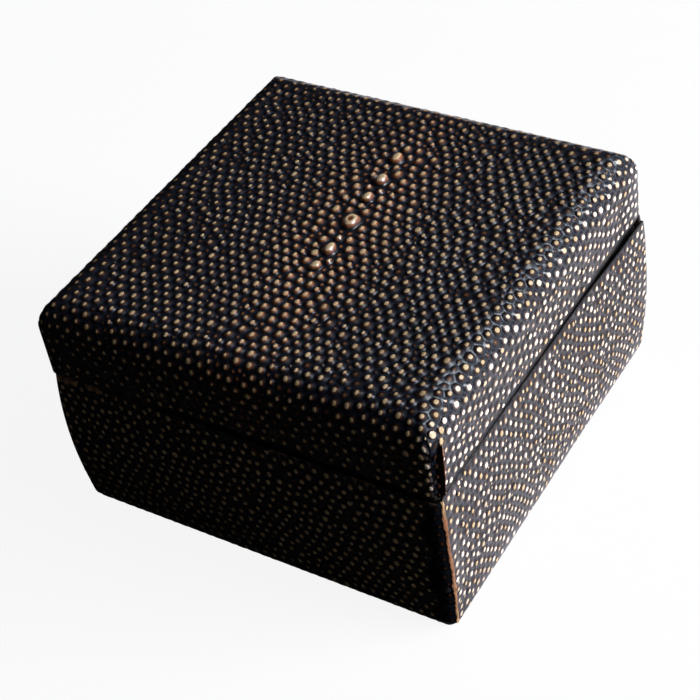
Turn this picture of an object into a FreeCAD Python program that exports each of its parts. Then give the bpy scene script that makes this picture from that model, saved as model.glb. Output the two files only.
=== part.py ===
"""Small square writing box: a bellied base and a flush lift-off lid, both of wood under
polished ray skin, with a fitted tray inside that holds the inkstone, the water dropper,
the ink stick and the brush.

Origin: centre of the underside. X runs across, Y from front (-) to back (+), Z up.
Lengths are millimetres.
"""
import FreeCAD, Part
import math
import os
import re
import Sketcher
from FreeCAD import Placement, Rotation, Vector

SIZES = (
    # alias, value, meaning
    ("box_width", 100.0, "base across X at its rim, over the hides"),
    ("box_depth", 100.0, "base along Y at its rim, over the hides"),
    ("base_height", 42.0, "underside to the joint between base and lid"),
    ("lid_height", 20.6, "joint to the top of the lid"),
    ("base_belly", 1.0, "how far each side swells beyond the rim"),
    ("belly_height", 23.3, "height at which the sides are fullest"),
    ("corner_radius", 3.4, "upright corners of the base at its rim, over the hides"),
    ("lid_corner_radius", 2.0, "upright corners of the lid, over the hide"),
    ("foot_radius", 2.9, "roll-under of the hides at the foot"),
    ("foot_turn_in", 3.0, "how far the hides reach in under the foot"),
    ("lid_roll_radius", 6.8, "roll-over of the hide along the lid's top edges"),
    ("lid_crown", 0.5, "rise of the lid's top over its span"),
    ("lid_overhang", 0.35, "lid proud of the base's rim, each side"),
    ("hide_thickness", 0.8, "ray skin, ground flat and lacquered"),
    ("rim_band", 0.6, "bare lacquered rim on each side of the joint"),
    ("wall_thickness", 4.2, "wooden walls of base and lid at the rim"),
    ("lid_board_thickness", 4.0, "top board of the lid"),
    ("floor_thickness", 4.0, "floor board of the base"),
    ("liner_thickness", 2.0, "inner lining boards of the base"),
    ("lip_height", 5.0, "lining boards above the joint, which locate the lid"),
    ("lip_chamfer", 0.6, "eased outer edge at the top of the lip"),
    ("lid_clearance", 0.3, "lip to lid wall, each side"),
    ("store_height", 14.0, "shallow store between the floor and the tray"),
    ("ledge_width", 3.0, "ledges that carry the tray, out from the lining"),
    ("ledge_thickness", 3.0, "ledges, top to bottom"),
    ("tray_clearance", 0.4, "tray to lining, each side"),
    ("tray_height", 15.0, "tray, underside to the top of its walls"),
    ("tray_floor_thickness", 2.5, "bottom board of the tray"),
    ("tray_wall_thickness", 2.0, "walls and divider of the tray"),
    ("finger_radius", 9.0, "finger notches in the tray's left and right walls"),
    ("divider_drop", 3.0, "divider below the top of the tray's walls"),
    ("brush_bay_width", 25.0, "bay at the right for brush and ink stick"),
    ("fitted_board_thickness", 3.0, "board that frames the seats of stone and dropper"),
    ("seat_clearance", 0.3, "play round each thing that lifts out of its seat"),
    ("stone_side_margin", 6.1, "fitted board showing left and right of the inkstone"),
    ("stone_height", 11.0, "inkstone, underside to rim"),
    ("stone_rim", 3.2, "raised rim round the grinding face"),
    ("stone_corner", 2.0, "upright corners of the inkstone"),
    ("land_depth", 1.8, "grinding face below the rim"),
    ("well_depth", 6.2, "ink well below the rim"),
    ("well_length", 11.0, "flat bottom of the ink well along Y"),
    ("slope_length", 13.0, "slope from the grinding face into the well"),
    ("slope_radius", 9.0, "easing at the head and foot of that slope"),
    ("pool_corner", 3.0, "inner corners of the hollow in plan"),
    ("stone_front_margin", 2.5, "tray wall to inkstone"),
    ("dropper_width", 27.0, "water dropper across X"),
    ("dropper_length", 15.5, "water dropper along Y"),
    ("dropper_height", 13.0, "water dropper, underside to top"),
    ("dropper_wall", 1.2, "bronze wall of the dropper"),
    ("dropper_plate", 2.0, "top plate of the dropper"),
    ("dropper_corner", 3.5, "upright corners of the dropper"),
    ("dropper_edge", 0.9, "bevelled top edge of the dropper"),
    ("dropper_hole", 2.0, "air hole and pouring hole"),
    ("dropper_gap", 2.2, "between the inkstone's and the dropper's seats"),
    ("dropper_back_margin", 6.4, "water dropper to the tray's back wall"),
    ("rest_height", 6.5, "brush rests above the tray's bottom board"),
    ("rest_thickness", 5.0, "brush rests along Y"),
    ("rest_spacing", 36.0, "centre to centre of the two rests"),
    ("rest_collar_gap", 2.0, "front rest to the brush's collar"),
    ("rest_edge", 0.8, "softened top edges of the rests"),
    ("stick_notch", 3.0, "depth of the flat notches for the ink stick"),
    ("handle_diameter", 6.4, "brush handle at its thickest"),
    ("handle_bevel", 0.6, "bevel at the handle's tail"),
    ("brush_end_gap", 2.1, "brush to the tray's wall at each end"),
    ("knuckle_rise", 0.2, "bamboo joint ring, out from the handle"),
    ("knuckle_place", 17.0, "bamboo joint ring to the handle's tail"),
    ("collar_diameter", 7.0, "horn collar that holds the tuft"),
    ("collar_length", 5.0, "horn collar along the brush"),
    ("tuft_diameter", 5.4, "hair tuft at the collar"),
    ("tuft_length", 16.0, "hair tuft to its point"),
    ("tuft_belly", 6.2, "hair tuft at its fullest"),
    ("tuft_belly_place", 4.5, "collar to the tuft's fullest part"),
    ("tuft_shoulder", 4.6, "hair tuft where it starts to draw to a point"),
    ("tuft_shoulder_place", 10.5, "collar to where the tuft draws to a point"),
    ("tuft_point", 0.5, "end of the tuft"),
    ("brush_offset", 7.0, "divider to the brush's centre line"),
    ("stick_width", 10.0, "ink stick across X"),
    ("stick_length", 56.0, "ink stick along Y"),
    ("stick_thickness", 6.5, "ink stick top to bottom"),
    ("stick_edge", 1.0, "rounded long edges of the ink stick"),
    ("stick_worn", 1.6, "slant of the end worn by grinding"),
)

doc = FreeCAD.newDocument("writing_box")
sheet = doc.addObject("Spreadsheet::Sheet", "Sizes")
for row, (alias, value, meaning) in enumerate(SIZES, start=1):
    sheet.set(f"A{row}", meaning)
    sheet.set(f"B{row}", str(value))
    sheet.setAlias(f"B{row}", alias)
doc.recompute()

nodes = {}


# ---------------------------------------------------------------- expressions

def cell(expression):
    """The expression with each size name pointed at its cell in the sheet."""
    return re.sub(r"[a-z][a-z_]+", lambda name: "Sizes." + name.group(), expression)


def size(alias):
    """One size as a number, for what can't hold an expression."""
    return float(sheet.get(alias))


def worth(expression):
    """An expression's present value, for what can't hold an expression."""
    return float(sheet.evalExpression(cell(expression)))


def centred(half):
    return f"-({half})", f"({half})"


LID_TOP = "(base_height + lid_height)"
CAVITY_X = "(box_width / 2 - hide_thickness - wall_thickness)"
CAVITY_Y = "(box_depth / 2 - hide_thickness - wall_thickness)"
INNER_X = f"({CAVITY_X} - liner_thickness)"
INNER_Y = f"({CAVITY_Y} - liner_thickness)"
LEDGE_TOP = "(floor_thickness + store_height)"
TRAY_X = f"({INNER_X} - tray_clearance)"
TRAY_Y = f"({INNER_Y} - tray_clearance)"
BAY_X = f"({TRAY_X} - tray_wall_thickness)"
BAY_Y = f"({TRAY_Y} - tray_wall_thickness)"
TRAY_FLOOR = f"({LEDGE_TOP} + tray_floor_thickness)"
TRAY_TOP = f"({LEDGE_TOP} + tray_height)"
DIVIDER_X = f"({BAY_X} - brush_bay_width)"
STONE_BAY_RIGHT = f"({DIVIDER_X} - tray_wall_thickness)"
STONE_BAY_MIDDLE = f"(({STONE_BAY_RIGHT} - {BAY_X}) / 2)"
STONE_WIDTH = f"({STONE_BAY_RIGHT} + {BAY_X} - 2 * stone_side_margin)"
DROPPER_ROOM = "(dropper_gap + 2 * seat_clearance + dropper_length + dropper_back_margin)"
STONE_LENGTH = f"(2 * {BAY_Y} - stone_front_margin - {DROPPER_ROOM})"
STONE_Y = f"(stone_front_margin + {STONE_LENGTH} / 2 - {BAY_Y})"
DROPPER_Y = f"({BAY_Y} - dropper_back_margin - dropper_length / 2)"
BRUSH_X = f"({DIVIDER_X} + brush_offset)"
BRUSH_Z = f"({TRAY_FLOOR} + rest_height)"
BRUSH_TAIL = f"({BAY_Y} - brush_end_gap)"
HANDLE_FRONT = f"(collar_length + tuft_length - {BRUSH_TAIL})"
REST_FRONT_Y = f"({HANDLE_FRONT} + rest_collar_gap + rest_thickness / 2)"
REST_BACK_Y = f"({REST_FRONT_Y} + rest_spacing)"
STICK_X = f"(({BRUSH_X} + handle_diameter / 2 + {BAY_X}) / 2)"
STICK_Z = f"({BRUSH_Z} - stick_notch)"
SWELL = "(((base_height - belly_height)^2 + base_belly^2) / (2 * base_belly))"


# ---------------------------------------------------------------- building blocks

def block(name, across, along, up):
    """Box between a low and a high expression on each axis."""
    box = doc.addObject("Part::Box", name)
    for edge, axis, (low, high) in zip(("Length", "Width", "Height"), "xyz", (across, along, up)):
        box.setExpression(edge, cell(f"({high}) - ({low})"))
        box.setExpression(f"Placement.Base.{axis}", cell(low))
    return box


def place(thing, x="0", y="0", z="0"):
    for axis, expression in zip("xyz", (x, y, z)):
        thing.setExpression(f"Placement.Base.{axis}", cell(expression))
    return thing


def rod(name, direction, radius, length, x="0", y="0", z="0"):
    """Cylinder along +X or +Y from the given start."""
    turn = Rotation(Vector(0, 1, 0), 90) if direction == "X" else Rotation(Vector(1, 0, 0), -90)
    cylinder = doc.addObject("Part::Cylinder", name)
    cylinder.Placement = Placement(Vector(), turn)
    cylinder.setExpression("Radius", cell(radius))
    cylinder.setExpression("Height", cell(length))
    return place(cylinder, x, y, z)


def common(name, *shapes):
    feature = doc.addObject("Part::MultiCommon", name)
    feature.Shapes = list(shapes)
    return feature


def fused(name, *shapes):
    """Union with the seams between its flush faces taken out."""
    feature = doc.addObject("Part::MultiFuse", name)
    feature.Shapes = list(shapes)
    feature.Refine = True
    return feature


def cut(name, base, *tools):
    for number, tool in enumerate(tools, start=1):
        feature = doc.addObject("Part::Cut", name if number == len(tools) else f"{name}_{number}")
        feature.Base = base
        feature.Tool = tool
        base = feature
    return base


def edge_numbers(shape, wanted):
    return [number for number, edge in enumerate(shape.Edges, start=1) if wanted(edge.BoundBox)]


def eased(kind, name, base, radius, wanted):
    """Part::Fillet or Part::Chamfer on the edges whose bounding box passes the test."""
    doc.recompute()
    feature = doc.addObject(f"Part::{kind}", name)
    feature.Base = base
    feature.Edges = [(number, radius, radius) for number in edge_numbers(base.Shape, wanted)]
    return feature


def upright(box):
    return box.ZLength > box.XLength + box.YLength


def node(label, feature):
    feature.Label = label
    nodes[label] = feature
    return feature


# ---------------------------------------------------------------- sketched bodies

def new_body(name):
    return doc.addObject("PartDesign::Body", name)


def new_sketch(body, name, plane):
    sketch = body.newObject("Sketcher::SketchObject", name)
    origin_plane = next(item for item in body.Origin.OriginFeatures if item.Role == plane)
    sketch.AttachmentSupport = (origin_plane, "")
    sketch.MapMode = "FlatFace"
    return sketch


def fix_point(sketch, geometry, point, x, y, guess):
    """Ties one point of the sketch to two expressions, measured from its origin."""
    for kind, expression, start in (("DistanceX", x, guess.x), ("DistanceY", y, guess.y)):
        number = sketch.addConstraint(Sketcher.Constraint(kind, -1, 1, geometry, point, start))
        sketch.setExpression(f"Constraints[{number}]", cell(expression))


def outline(body, name, plane, corners):
    """Closed sketch of straight lines through corners given as pairs of expressions."""
    sketch = new_sketch(body, name, plane)
    count = len(corners)
    turn = 2 * math.pi / count
    guess = [Vector(math.cos(turn * i), math.sin(turn * i), 0) * size("brush_bay_width") for i in range(count)]
    for i in range(count):
        sketch.addGeometry(Part.LineSegment(guess[i], guess[(i + 1) % count]), False)
    for i in range(count):
        sketch.addConstraint(Sketcher.Constraint("Coincident", i, 2, (i + 1) % count, 1))
    for i, (x, y) in enumerate(corners):
        fix_point(sketch, i, 1, x, y, guess[i])
    return sketch


def rectangle(body, name, half_x, half_y, plane="XY_Plane"):
    (left, right), (low, high) = centred(half_x), centred(half_y)
    return outline(body, name, plane, ((left, low), (right, low), (right, high), (left, high)))


def circle(body, name, x, y, diameter):
    sketch = new_sketch(body, name, "XY_Plane")
    start = Vector(1, 1, 0)
    sketch.addGeometry(Part.Circle(start, Vector(0, 0, 1), 1), False)
    fix_point(sketch, 0, 3, x, y, start)
    number = sketch.addConstraint(Sketcher.Constraint("Diameter", 0, 2.0))
    sketch.setExpression(f"Constraints[{number}]", cell(diameter))
    return sketch


def pad(body, sketch, length, midplane=False):
    feature = body.newObject("PartDesign::Pad", f"{sketch.Name}_pad")
    feature.Profile = sketch
    feature.setExpression("Length", cell(length))
    feature.Midplane = midplane
    return feature


def pocket(body, sketch, length, midplane=False, upward=False):
    """Cuts down from the sketch's plane, to both sides of it, or upward through the solid."""
    feature = body.newObject("PartDesign::Pocket", f"{sketch.Name}_pocket")
    feature.Profile = sketch
    feature.setExpression("Length", cell(length))
    feature.Midplane = midplane
    feature.Reversed = upward
    return feature


def soften(body, name, amount, wanted, kind="Fillet"):
    """PartDesign fillet or chamfer on the tip's edges whose bounding box passes the test."""
    doc.recompute()
    base = body.Tip
    feature = body.newObject(f"PartDesign::{kind}", name)
    feature.Base = (base, [f"Edge{number}" for number in edge_numbers(base.Shape, wanted)])
    feature.setExpression("Radius" if kind == "Fillet" else "Size", cell(amount))
    return feature


def turned(body, sketch):
    """Revolution of a half profile about the sketch's upright axis."""
    feature = body.newObject("PartDesign::Revolution", f"{sketch.Name}_turned")
    feature.Profile = sketch
    feature.ReferenceAxis = (sketch, ["V_Axis"])
    return feature


# ---------------------------------------------------------------- mitred sides

SIDES = ("right", "back", "left", "front")


def quarter_turns(side):
    return 90 * SIDES.index(side)


def mitre_sector(side):
    """Tall square post on edge: its corner faces split a ring of wall at the 45 degree mitres."""
    wider, deeper = "(box_width - box_depth) / 2", "(box_depth - box_width) / 2"
    apex = dict(zip(SIDES, ((wider, "0"), ("0", deeper), (deeper, "0"), ("0", wider))))
    post = doc.addObject("Part::Box", f"sector_{side}")
    post.setExpression("Length", cell("box_width + box_depth"))
    post.setExpression("Width", cell("box_width + box_depth"))
    post.setExpression("Height", cell(f"2 * {LID_TOP}"))
    post.Placement = Placement(Vector(), Rotation(Vector(0, 0, 1), quarter_turns(side) - 45))
    return place(post, *apex[side], "-base_height / 2")


def split_ring(prefix, ring):
    """Four mitred boards or panels, one node a side."""
    for side, sector in sectors.items():
        node(f"{prefix}_{side}", common(f"{prefix}_{side}_solid", ring, sector))


# ---------------------------------------------------------------- outer forms

def sunk(sink):
    return size("hide_thickness") if sink == "hide_thickness" else 0.0


def moulding_profile(name, sink, top, angle):
    """Half section of the base, outward from the axis of a corner: foot, roll-under, belly, rim."""
    depth = sunk(sink)
    belly, fullest = size("base_belly"), size("belly_height")
    swell = ((size("base_height") - fullest) ** 2 + belly ** 2) / (2 * belly)
    belly_centre = Vector(size("corner_radius") + belly - swell, fullest, 0)
    roll = size("foot_radius") - depth
    drop = fullest - size("foot_radius")
    reach = math.sqrt((swell - size("foot_radius")) ** 2 - drop ** 2)
    roll_centre = Vector(belly_centre.x + reach, size("foot_radius"), 0)
    high = size("base_height") if depth else size("base_height") - size("rim_band")
    radius = swell - depth
    rim_angle = math.asin((high - fullest) / radius)
    join_angle = -math.asin(drop / (swell - size("foot_radius")))
    rim = belly_centre + Vector(math.cos(rim_angle), math.sin(rim_angle), 0) * radius
    upward = Vector(0, 0, 1)
    sketch = doc.addObject("Sketcher::SketchObject", name)
    sketch.Placement = Placement(Vector(), Rotation(upward, angle) * Rotation(Vector(1, 0, 0), 90))
    sketch.addGeometry(Part.LineSegment(Vector(0, depth, 0), Vector(roll_centre.x, depth, 0)), False)
    foot = Part.Circle(roll_centre, upward, roll)
    sketch.addGeometry(Part.ArcOfCircle(foot, -math.pi / 2, join_angle), False)
    side = Part.Circle(belly_centre, upward, radius)
    sketch.addGeometry(Part.ArcOfCircle(side, join_angle, rim_angle), False)
    sketch.addGeometry(Part.LineSegment(rim, Vector(0, high, 0)), False)
    sketch.addGeometry(Part.LineSegment(Vector(0, high, 0), Vector(0, depth, 0)), False)
    sketch.addConstraint(Sketcher.Constraint("Tangent", 0, 2, 1, 1))
    sketch.addConstraint(Sketcher.Constraint("Tangent", 1, 2, 2, 1))
    for first, second in ((2, 3), (3, 4), (4, 0)):
        sketch.addConstraint(Sketcher.Constraint("Coincident", first, 2, second, 1))
    sketch.addConstraint(Sketcher.Constraint("Horizontal", 0))
    sketch.addConstraint(Sketcher.Constraint("Horizontal", 3))
    fix_point(sketch, 0, 1, "0 * corner_radius", sink, Vector(0, depth, 0))
    fix_point(sketch, 4, 1, "0 * corner_radius", top, Vector(0, high, 0))
    fix_point(sketch, 2, 3, f"corner_radius + base_belly - {SWELL}", "belly_height", belly_centre)
    for geometry, start, expression in ((1, roll, f"foot_radius - {sink}"), (2, radius, f"{SWELL} - {sink}")):
        number = sketch.addConstraint(Sketcher.Constraint("Radius", geometry, start))
        sketch.setExpression(f"Constraints[{number}]", cell(expression))
    return sketch


def corner_axis(side):
    """Where one side's run starts, on a corner's axis, and half its length."""
    axis_x, axis_y = "(box_width / 2 - corner_radius)", "(box_depth / 2 - corner_radius)"
    starts = ((axis_x, f"-{axis_y}"), (axis_x, axis_y), (f"-{axis_x}", axis_y), (f"-{axis_x}", f"-{axis_y}"))
    half_lengths = (axis_y, axis_x, axis_y, axis_x)
    turns = SIDES.index(side)
    return *starts[turns], half_lengths[turns]


def moulded_side(name, side, sink, top):
    """One side of the base outside the corner axes: a straight run of the moulding, turned
    through half a corner at each end, so its ends are the mitres."""
    x, y, half_length = corner_axis(side)
    angle = quarter_turns(side)
    along = Rotation(Vector(0, 0, 1), angle).multVec(Vector(0, 1, 0))
    profile = place(moulding_profile(f"{name}_profile", sink, top, angle), x, y)
    run = doc.addObject("Part::Extrusion", f"{name}_run")
    run.Base = profile
    run.DirMode = "Custom"
    run.Dir = along
    run.setExpression("LengthFwd", cell(f"2 * {half_length}"))
    run.Solid = True
    start = doc.addObject("Part::Revolution", f"{name}_start")
    start.Source = profile
    start.Axis = Vector(0, 0, -1)
    start.Angle = 45
    start.Solid = True
    start.setExpression("Base.x", cell(x))
    start.setExpression("Base.y", cell(y))
    end = doc.addObject("Part::Mirroring", f"{name}_end")
    end.Source = start
    end.Normal = along
    return fused(name, run, start, end)


def pillow_profile(name, half_width, sink, bottom, along_x):
    """Upright profile of the lid: two sides, a roll-over at each end and a crowned top."""
    depth = sunk(sink)
    half = (size("box_width") if along_x else size("box_depth")) / 2 + size("lid_overhang") - depth
    roll = size("lid_roll_radius") - depth
    span = half - roll
    rise = size("lid_crown")
    crown = (span * span + rise * rise) / (2 * rise)
    peak = size("base_height") + size("lid_height") - depth
    low = size("base_height") if depth else size("base_height") + size("rim_band")
    crown_centre = Vector(0, peak - crown, 0)
    roll_height = crown_centre.y + math.sqrt((crown - roll) ** 2 - span * span)
    sketch = doc.addObject("Sketcher::SketchObject", name)
    turn = Rotation(Vector(1, 0, 0), 90) if along_x else Rotation(Vector(1, 1, 1), 120)
    sketch.Placement = Placement(Vector(), turn)
    upward = Vector(0, 0, 1)
    lean = math.atan2(roll_height - crown_centre.y, span)
    sketch.addGeometry(Part.LineSegment(Vector(half, low, 0), Vector(half, roll_height, 0)), False)
    right = Part.Circle(Vector(span, roll_height, 0), upward, roll)
    sketch.addGeometry(Part.ArcOfCircle(right, 0, lean), False)
    top = Part.Circle(crown_centre, upward, crown)
    sketch.addGeometry(Part.ArcOfCircle(top, lean, math.pi - lean), False)
    left = Part.Circle(Vector(-span, roll_height, 0), upward, roll)
    sketch.addGeometry(Part.ArcOfCircle(left, math.pi - lean, math.pi), False)
    sketch.addGeometry(Part.LineSegment(Vector(-half, roll_height, 0), Vector(-half, low, 0)), False)
    sketch.addGeometry(Part.LineSegment(Vector(-half, low, 0), Vector(half, low, 0)), False)
    for first, second in ((0, 1), (1, 2), (2, 3), (3, 4)):
        sketch.addConstraint(Sketcher.Constraint("Tangent", first, 2, second, 1))
    sketch.addConstraint(Sketcher.Constraint("Coincident", 4, 2, 5, 1))
    sketch.addConstraint(Sketcher.Constraint("Coincident", 5, 2, 0, 1))
    sketch.addConstraint(Sketcher.Constraint("Vertical", 0))
    sketch.addConstraint(Sketcher.Constraint("Vertical", 4))
    sketch.addConstraint(Sketcher.Constraint("Equal", 1, 3))
    fix_point(sketch, 0, 1, half_width, bottom, Vector(half, low, 0))
    fix_point(sketch, 5, 1, f"-{half_width}", bottom, Vector(-half, low, 0))
    rolled = sketch.addConstraint(Sketcher.Constraint("Radius", 1, roll))
    sketch.setExpression(f"Constraints[{rolled}]", cell(f"lid_roll_radius - {sink}"))
    chord = f"({half_width} + {sink} - lid_roll_radius)"
    crown_radius = f"(({chord}^2 + lid_crown^2) / (2 * lid_crown))"
    crowned = sketch.addConstraint(Sketcher.Constraint("Radius", 2, crown))
    sketch.setExpression(f"Constraints[{crowned}]", cell(crown_radius))
    fix_point(sketch, 2, 3, "0 * lid_crown", f"{LID_TOP} - {sink} - {crown_radius}", crown_centre)
    return sketch


def drawn_out(name, sketch, length, direction):
    """Sketch extruded to both sides of its plane."""
    feature = doc.addObject("Part::Extrusion", name)
    feature.Base = sketch
    feature.DirMode = "Custom"
    feature.Dir = direction
    feature.setExpression("LengthFwd", cell(length))
    feature.Symmetric = True
    feature.Solid = True
    return feature


def lid_form(name, sink, bottom):
    """Lid block: one crowned profile across, one along, and rounded corners in plan."""
    half_x = f"(box_width / 2 + lid_overhang - {sink})"
    half_y = f"(box_depth / 2 + lid_overhang - {sink})"
    across = pillow_profile(f"{name}_across_profile", half_x, sink, bottom, True)
    along = pillow_profile(f"{name}_along_profile", half_y, sink, bottom, False)
    stock = block(f"{name}_stock", centred(half_x), centred(half_y), (bottom, f"{LID_TOP} + lid_crown"))
    return common(
        name,
        drawn_out(f"{name}_across", across, "2 * box_depth", Vector(0, 1, 0)),
        drawn_out(f"{name}_along", along, "2 * box_width", Vector(1, 0, 0)),
        eased("Fillet", f"{name}_plan", stock, size("lid_corner_radius") - sunk(sink), upright),
    )


# ---------------------------------------------------------------- base

def build_base():
    hide_top = "(base_height - rim_band)"
    reach_x, reach_y = "(box_width / 2 - foot_turn_in)", "(box_depth / 2 - foot_turn_in)"
    under = block("foot_opening", centred(reach_x), centred(reach_y), ("-hide_thickness", "hide_thickness"))
    core_x, core_y = "(box_width / 2 - corner_radius)", "(box_depth / 2 - corner_radius)"
    core = block("base_core", centred(core_x), centred(core_y), ("hide_thickness", "base_height"))
    well = block("base_well", centred(CAVITY_X), centred(CAVITY_Y), ("-base_height", "2 * base_height"))
    frame = cut("base_core_frame", core, well)
    for side, sector in sectors.items():
        wood = moulded_side(f"base_wood_{side}", side, "hide_thickness", "base_height")
        hide = moulded_side(f"base_hide_{side}", side, "0 * hide_thickness", hide_top)
        node(f"base_skin_{side}", cut(f"base_skin_{side}_solid", hide, wood, under))
        backing = common(f"base_backing_{side}", frame, sector)
        node(f"base_wall_{side}", fused(f"base_wall_{side}_solid", wood, backing))

    floor = ("0 * floor_thickness", "floor_thickness")
    node("base_floor", block("base_floor_board", centred(CAVITY_X), centred(CAVITY_Y), floor))

    lip_top = "(base_height + lip_height)"
    lining = block("lining_block", centred(CAVITY_X), centred(CAVITY_Y), ("floor_thickness", lip_top))
    lip = size("base_height") + size("lip_height") - 0.01
    lining = eased("Chamfer", "lining_eased", lining, size("lip_chamfer"), lambda box: box.ZMin > lip)
    inside = block("lining_well", centred(INNER_X), centred(INNER_Y), ("0 * lip_height", f"2 * {lip_top}"))
    split_ring("base_liner", cut("base_liner_ring", lining, inside))

    ledge = (f"{LEDGE_TOP} - ledge_thickness", LEDGE_TOP)
    left = (f"-{INNER_X}", f"ledge_width - {INNER_X}")
    right = (f"{INNER_X} - ledge_width", INNER_X)
    node("base_ledge_left", block("ledge_left", left, centred(INNER_Y), ledge))
    node("base_ledge_right", block("ledge_right", right, centred(INNER_Y), ledge))


# ---------------------------------------------------------------- lid

def build_lid():
    wood = lid_form("lid_wood", "hide_thickness", "base_height")
    hide = lid_form("lid_hide", "0 * hide_thickness", "(base_height + rim_band)")
    node("lid_skin", cut("lid_skin_solid", hide, wood))

    board_under = f"({LID_TOP} - hide_thickness - lid_board_thickness)"
    room_x, room_y = f"({CAVITY_X} + lid_clearance)", f"({CAVITY_Y} + lid_clearance)"
    room = block("lid_room", centred(room_x), centred(room_y), ("0 * lid_height", board_under))
    carcass = cut("lid_carcass", wood, room)
    above = block("lid_board_zone", centred("box_width"), centred("box_depth"), (board_under, f"2 * {LID_TOP}"))
    node("lid_top_board", common("lid_top_board_solid", carcass, above))
    split_ring("lid_wall", cut("lid_wall_ring", carcass, above))


# ---------------------------------------------------------------- tray

def build_tray():
    floor = (LEDGE_TOP, TRAY_FLOOR)
    node("tray_floor", block("tray_floor_board", centred(TRAY_X), centred(TRAY_Y), floor))

    walls = block("tray_block", centred(TRAY_X), centred(TRAY_Y), (TRAY_FLOOR, TRAY_TOP))
    bays = block("tray_bays", centred(BAY_X), centred(BAY_Y), (LEDGE_TOP, f"2 * {TRAY_TOP}"))
    fingers = rod("tray_fingers", "X", "finger_radius", "2 * box_width", "-box_width", "0", TRAY_TOP)
    split_ring("tray_wall", cut("tray_wall_ring", walls, bays, fingers))

    divider = (STONE_BAY_RIGHT, DIVIDER_X)
    height = (TRAY_FLOOR, f"{TRAY_TOP} - divider_drop")
    node("tray_divider", block("tray_divider_board", divider, centred(BAY_Y), height))

    thickness = (TRAY_FLOOR, f"({TRAY_FLOOR} + fitted_board_thickness)")
    board = block("fitted_block", (f"-{BAY_X}", STONE_BAY_RIGHT), centred(BAY_Y), thickness)
    seats = [
        seat("stone_seat", STONE_WIDTH, STONE_LENGTH, STONE_Y),
        seat("dropper_seat", "dropper_width", "dropper_length", DROPPER_Y),
    ]
    node("fitted_board", cut("fitted_board_solid", board, *seats))

    build_rest("front", REST_FRONT_Y)
    build_rest("back", REST_BACK_Y)


def seat(name, width, length, y):
    """Cut-out for one thing in the fitted board, with its play."""
    half_x, half_y = f"({width} / 2 + seat_clearance)", f"({length} / 2 + seat_clearance)"
    across = (f"{STONE_BAY_MIDDLE} - {half_x}", f"{STONE_BAY_MIDDLE} + {half_x}")
    along = (f"{y} - {half_y}", f"{y} + {half_y}")
    return block(name, across, along, (LEDGE_TOP, TRAY_TOP))


def build_rest(place_name, y):
    """Rest across the brush bay: a round notch for the brush, a flat one for the ink stick."""
    left, right = DIVIDER_X, BAY_X
    notch_left = f"({STICK_X} - stick_width / 2 - seat_clearance)"
    notch_right = f"({STICK_X} + stick_width / 2 + seat_clearance)"
    body = new_body(f"rest_{place_name}_body")
    sketch = outline(body, f"rest_{place_name}_profile", "XZ_Plane", (
        (left, "0 * rest_height"),
        (right, "0 * rest_height"),
        (right, "rest_height"),
        (notch_right, "rest_height"),
        (notch_right, "rest_height - stick_notch"),
        (notch_left, "rest_height - stick_notch"),
        (notch_left, "rest_height"),
        (left, "rest_height"),
    ))
    pad(body, sketch, "rest_thickness", midplane=True)
    top = size("rest_height") - 0.01
    soften(body, f"rest_{place_name}_edges", "rest_edge", lambda box: box.ZMin > top and box.XLength > 1)
    place(body, "0", y, TRAY_FLOOR)
    groove = rod(
        f"rest_{place_name}_groove", "Y", "handle_diameter / 2 + seat_clearance", "2 * box_depth",
        BRUSH_X, "-box_depth", BRUSH_Z,
    )
    node(f"brush_rest_{place_name}", cut(f"rest_{place_name}_solid", body, groove))


# ---------------------------------------------------------------- writing things

def build_inkstone():
    """Stone with a raised rim, a level grinding face and a slope down into the well."""
    body = new_body("inkstone_body")
    pad(body, rectangle(body, "stone_plan", f"{STONE_WIDTH} / 2", f"{STONE_LENGTH} / 2"), "stone_height")
    soften(body, "stone_corners", "stone_corner", upright)
    front, back = f"stone_rim - {STONE_LENGTH} / 2", f"({STONE_LENGTH} / 2 - stone_rim)"
    land, deep = "stone_height - land_depth", "stone_height - well_depth"
    above = "2 * stone_height"
    hollow = outline(body, "stone_hollow", "YZ_Plane", (
        (front, land),
        (f"{back} - well_length - slope_length", land),
        (f"{back} - well_length", deep),
        (back, deep),
        (back, above),
        (front, above),
    ))
    pocket(body, hollow, f"{STONE_WIDTH} - 2 * stone_rim", midplane=True)
    top, inner = size("stone_height"), worth(back) + 0.01
    foot = worth(f"{back} - well_length")
    head = worth(f"{back} - well_length - slope_length")

    def inner_corner(box):
        return box.XLength < 0.01 and box.YLength < 0.01 and -inner < box.YMin < inner and box.ZMax > top - 0.01

    def slope_edge(box):
        level = box.YLength < 0.01 and box.ZLength < 0.01 and box.XLength > 1
        return level and min(abs(box.YMin - head), abs(box.YMin - foot)) < 0.01

    soften(body, "stone_slope", "slope_radius", slope_edge)
    soften(body, "stone_pool_corners", "pool_corner", inner_corner)
    node("inkstone", place(body, STONE_BAY_MIDDLE, STONE_Y, TRAY_FLOOR))


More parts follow.
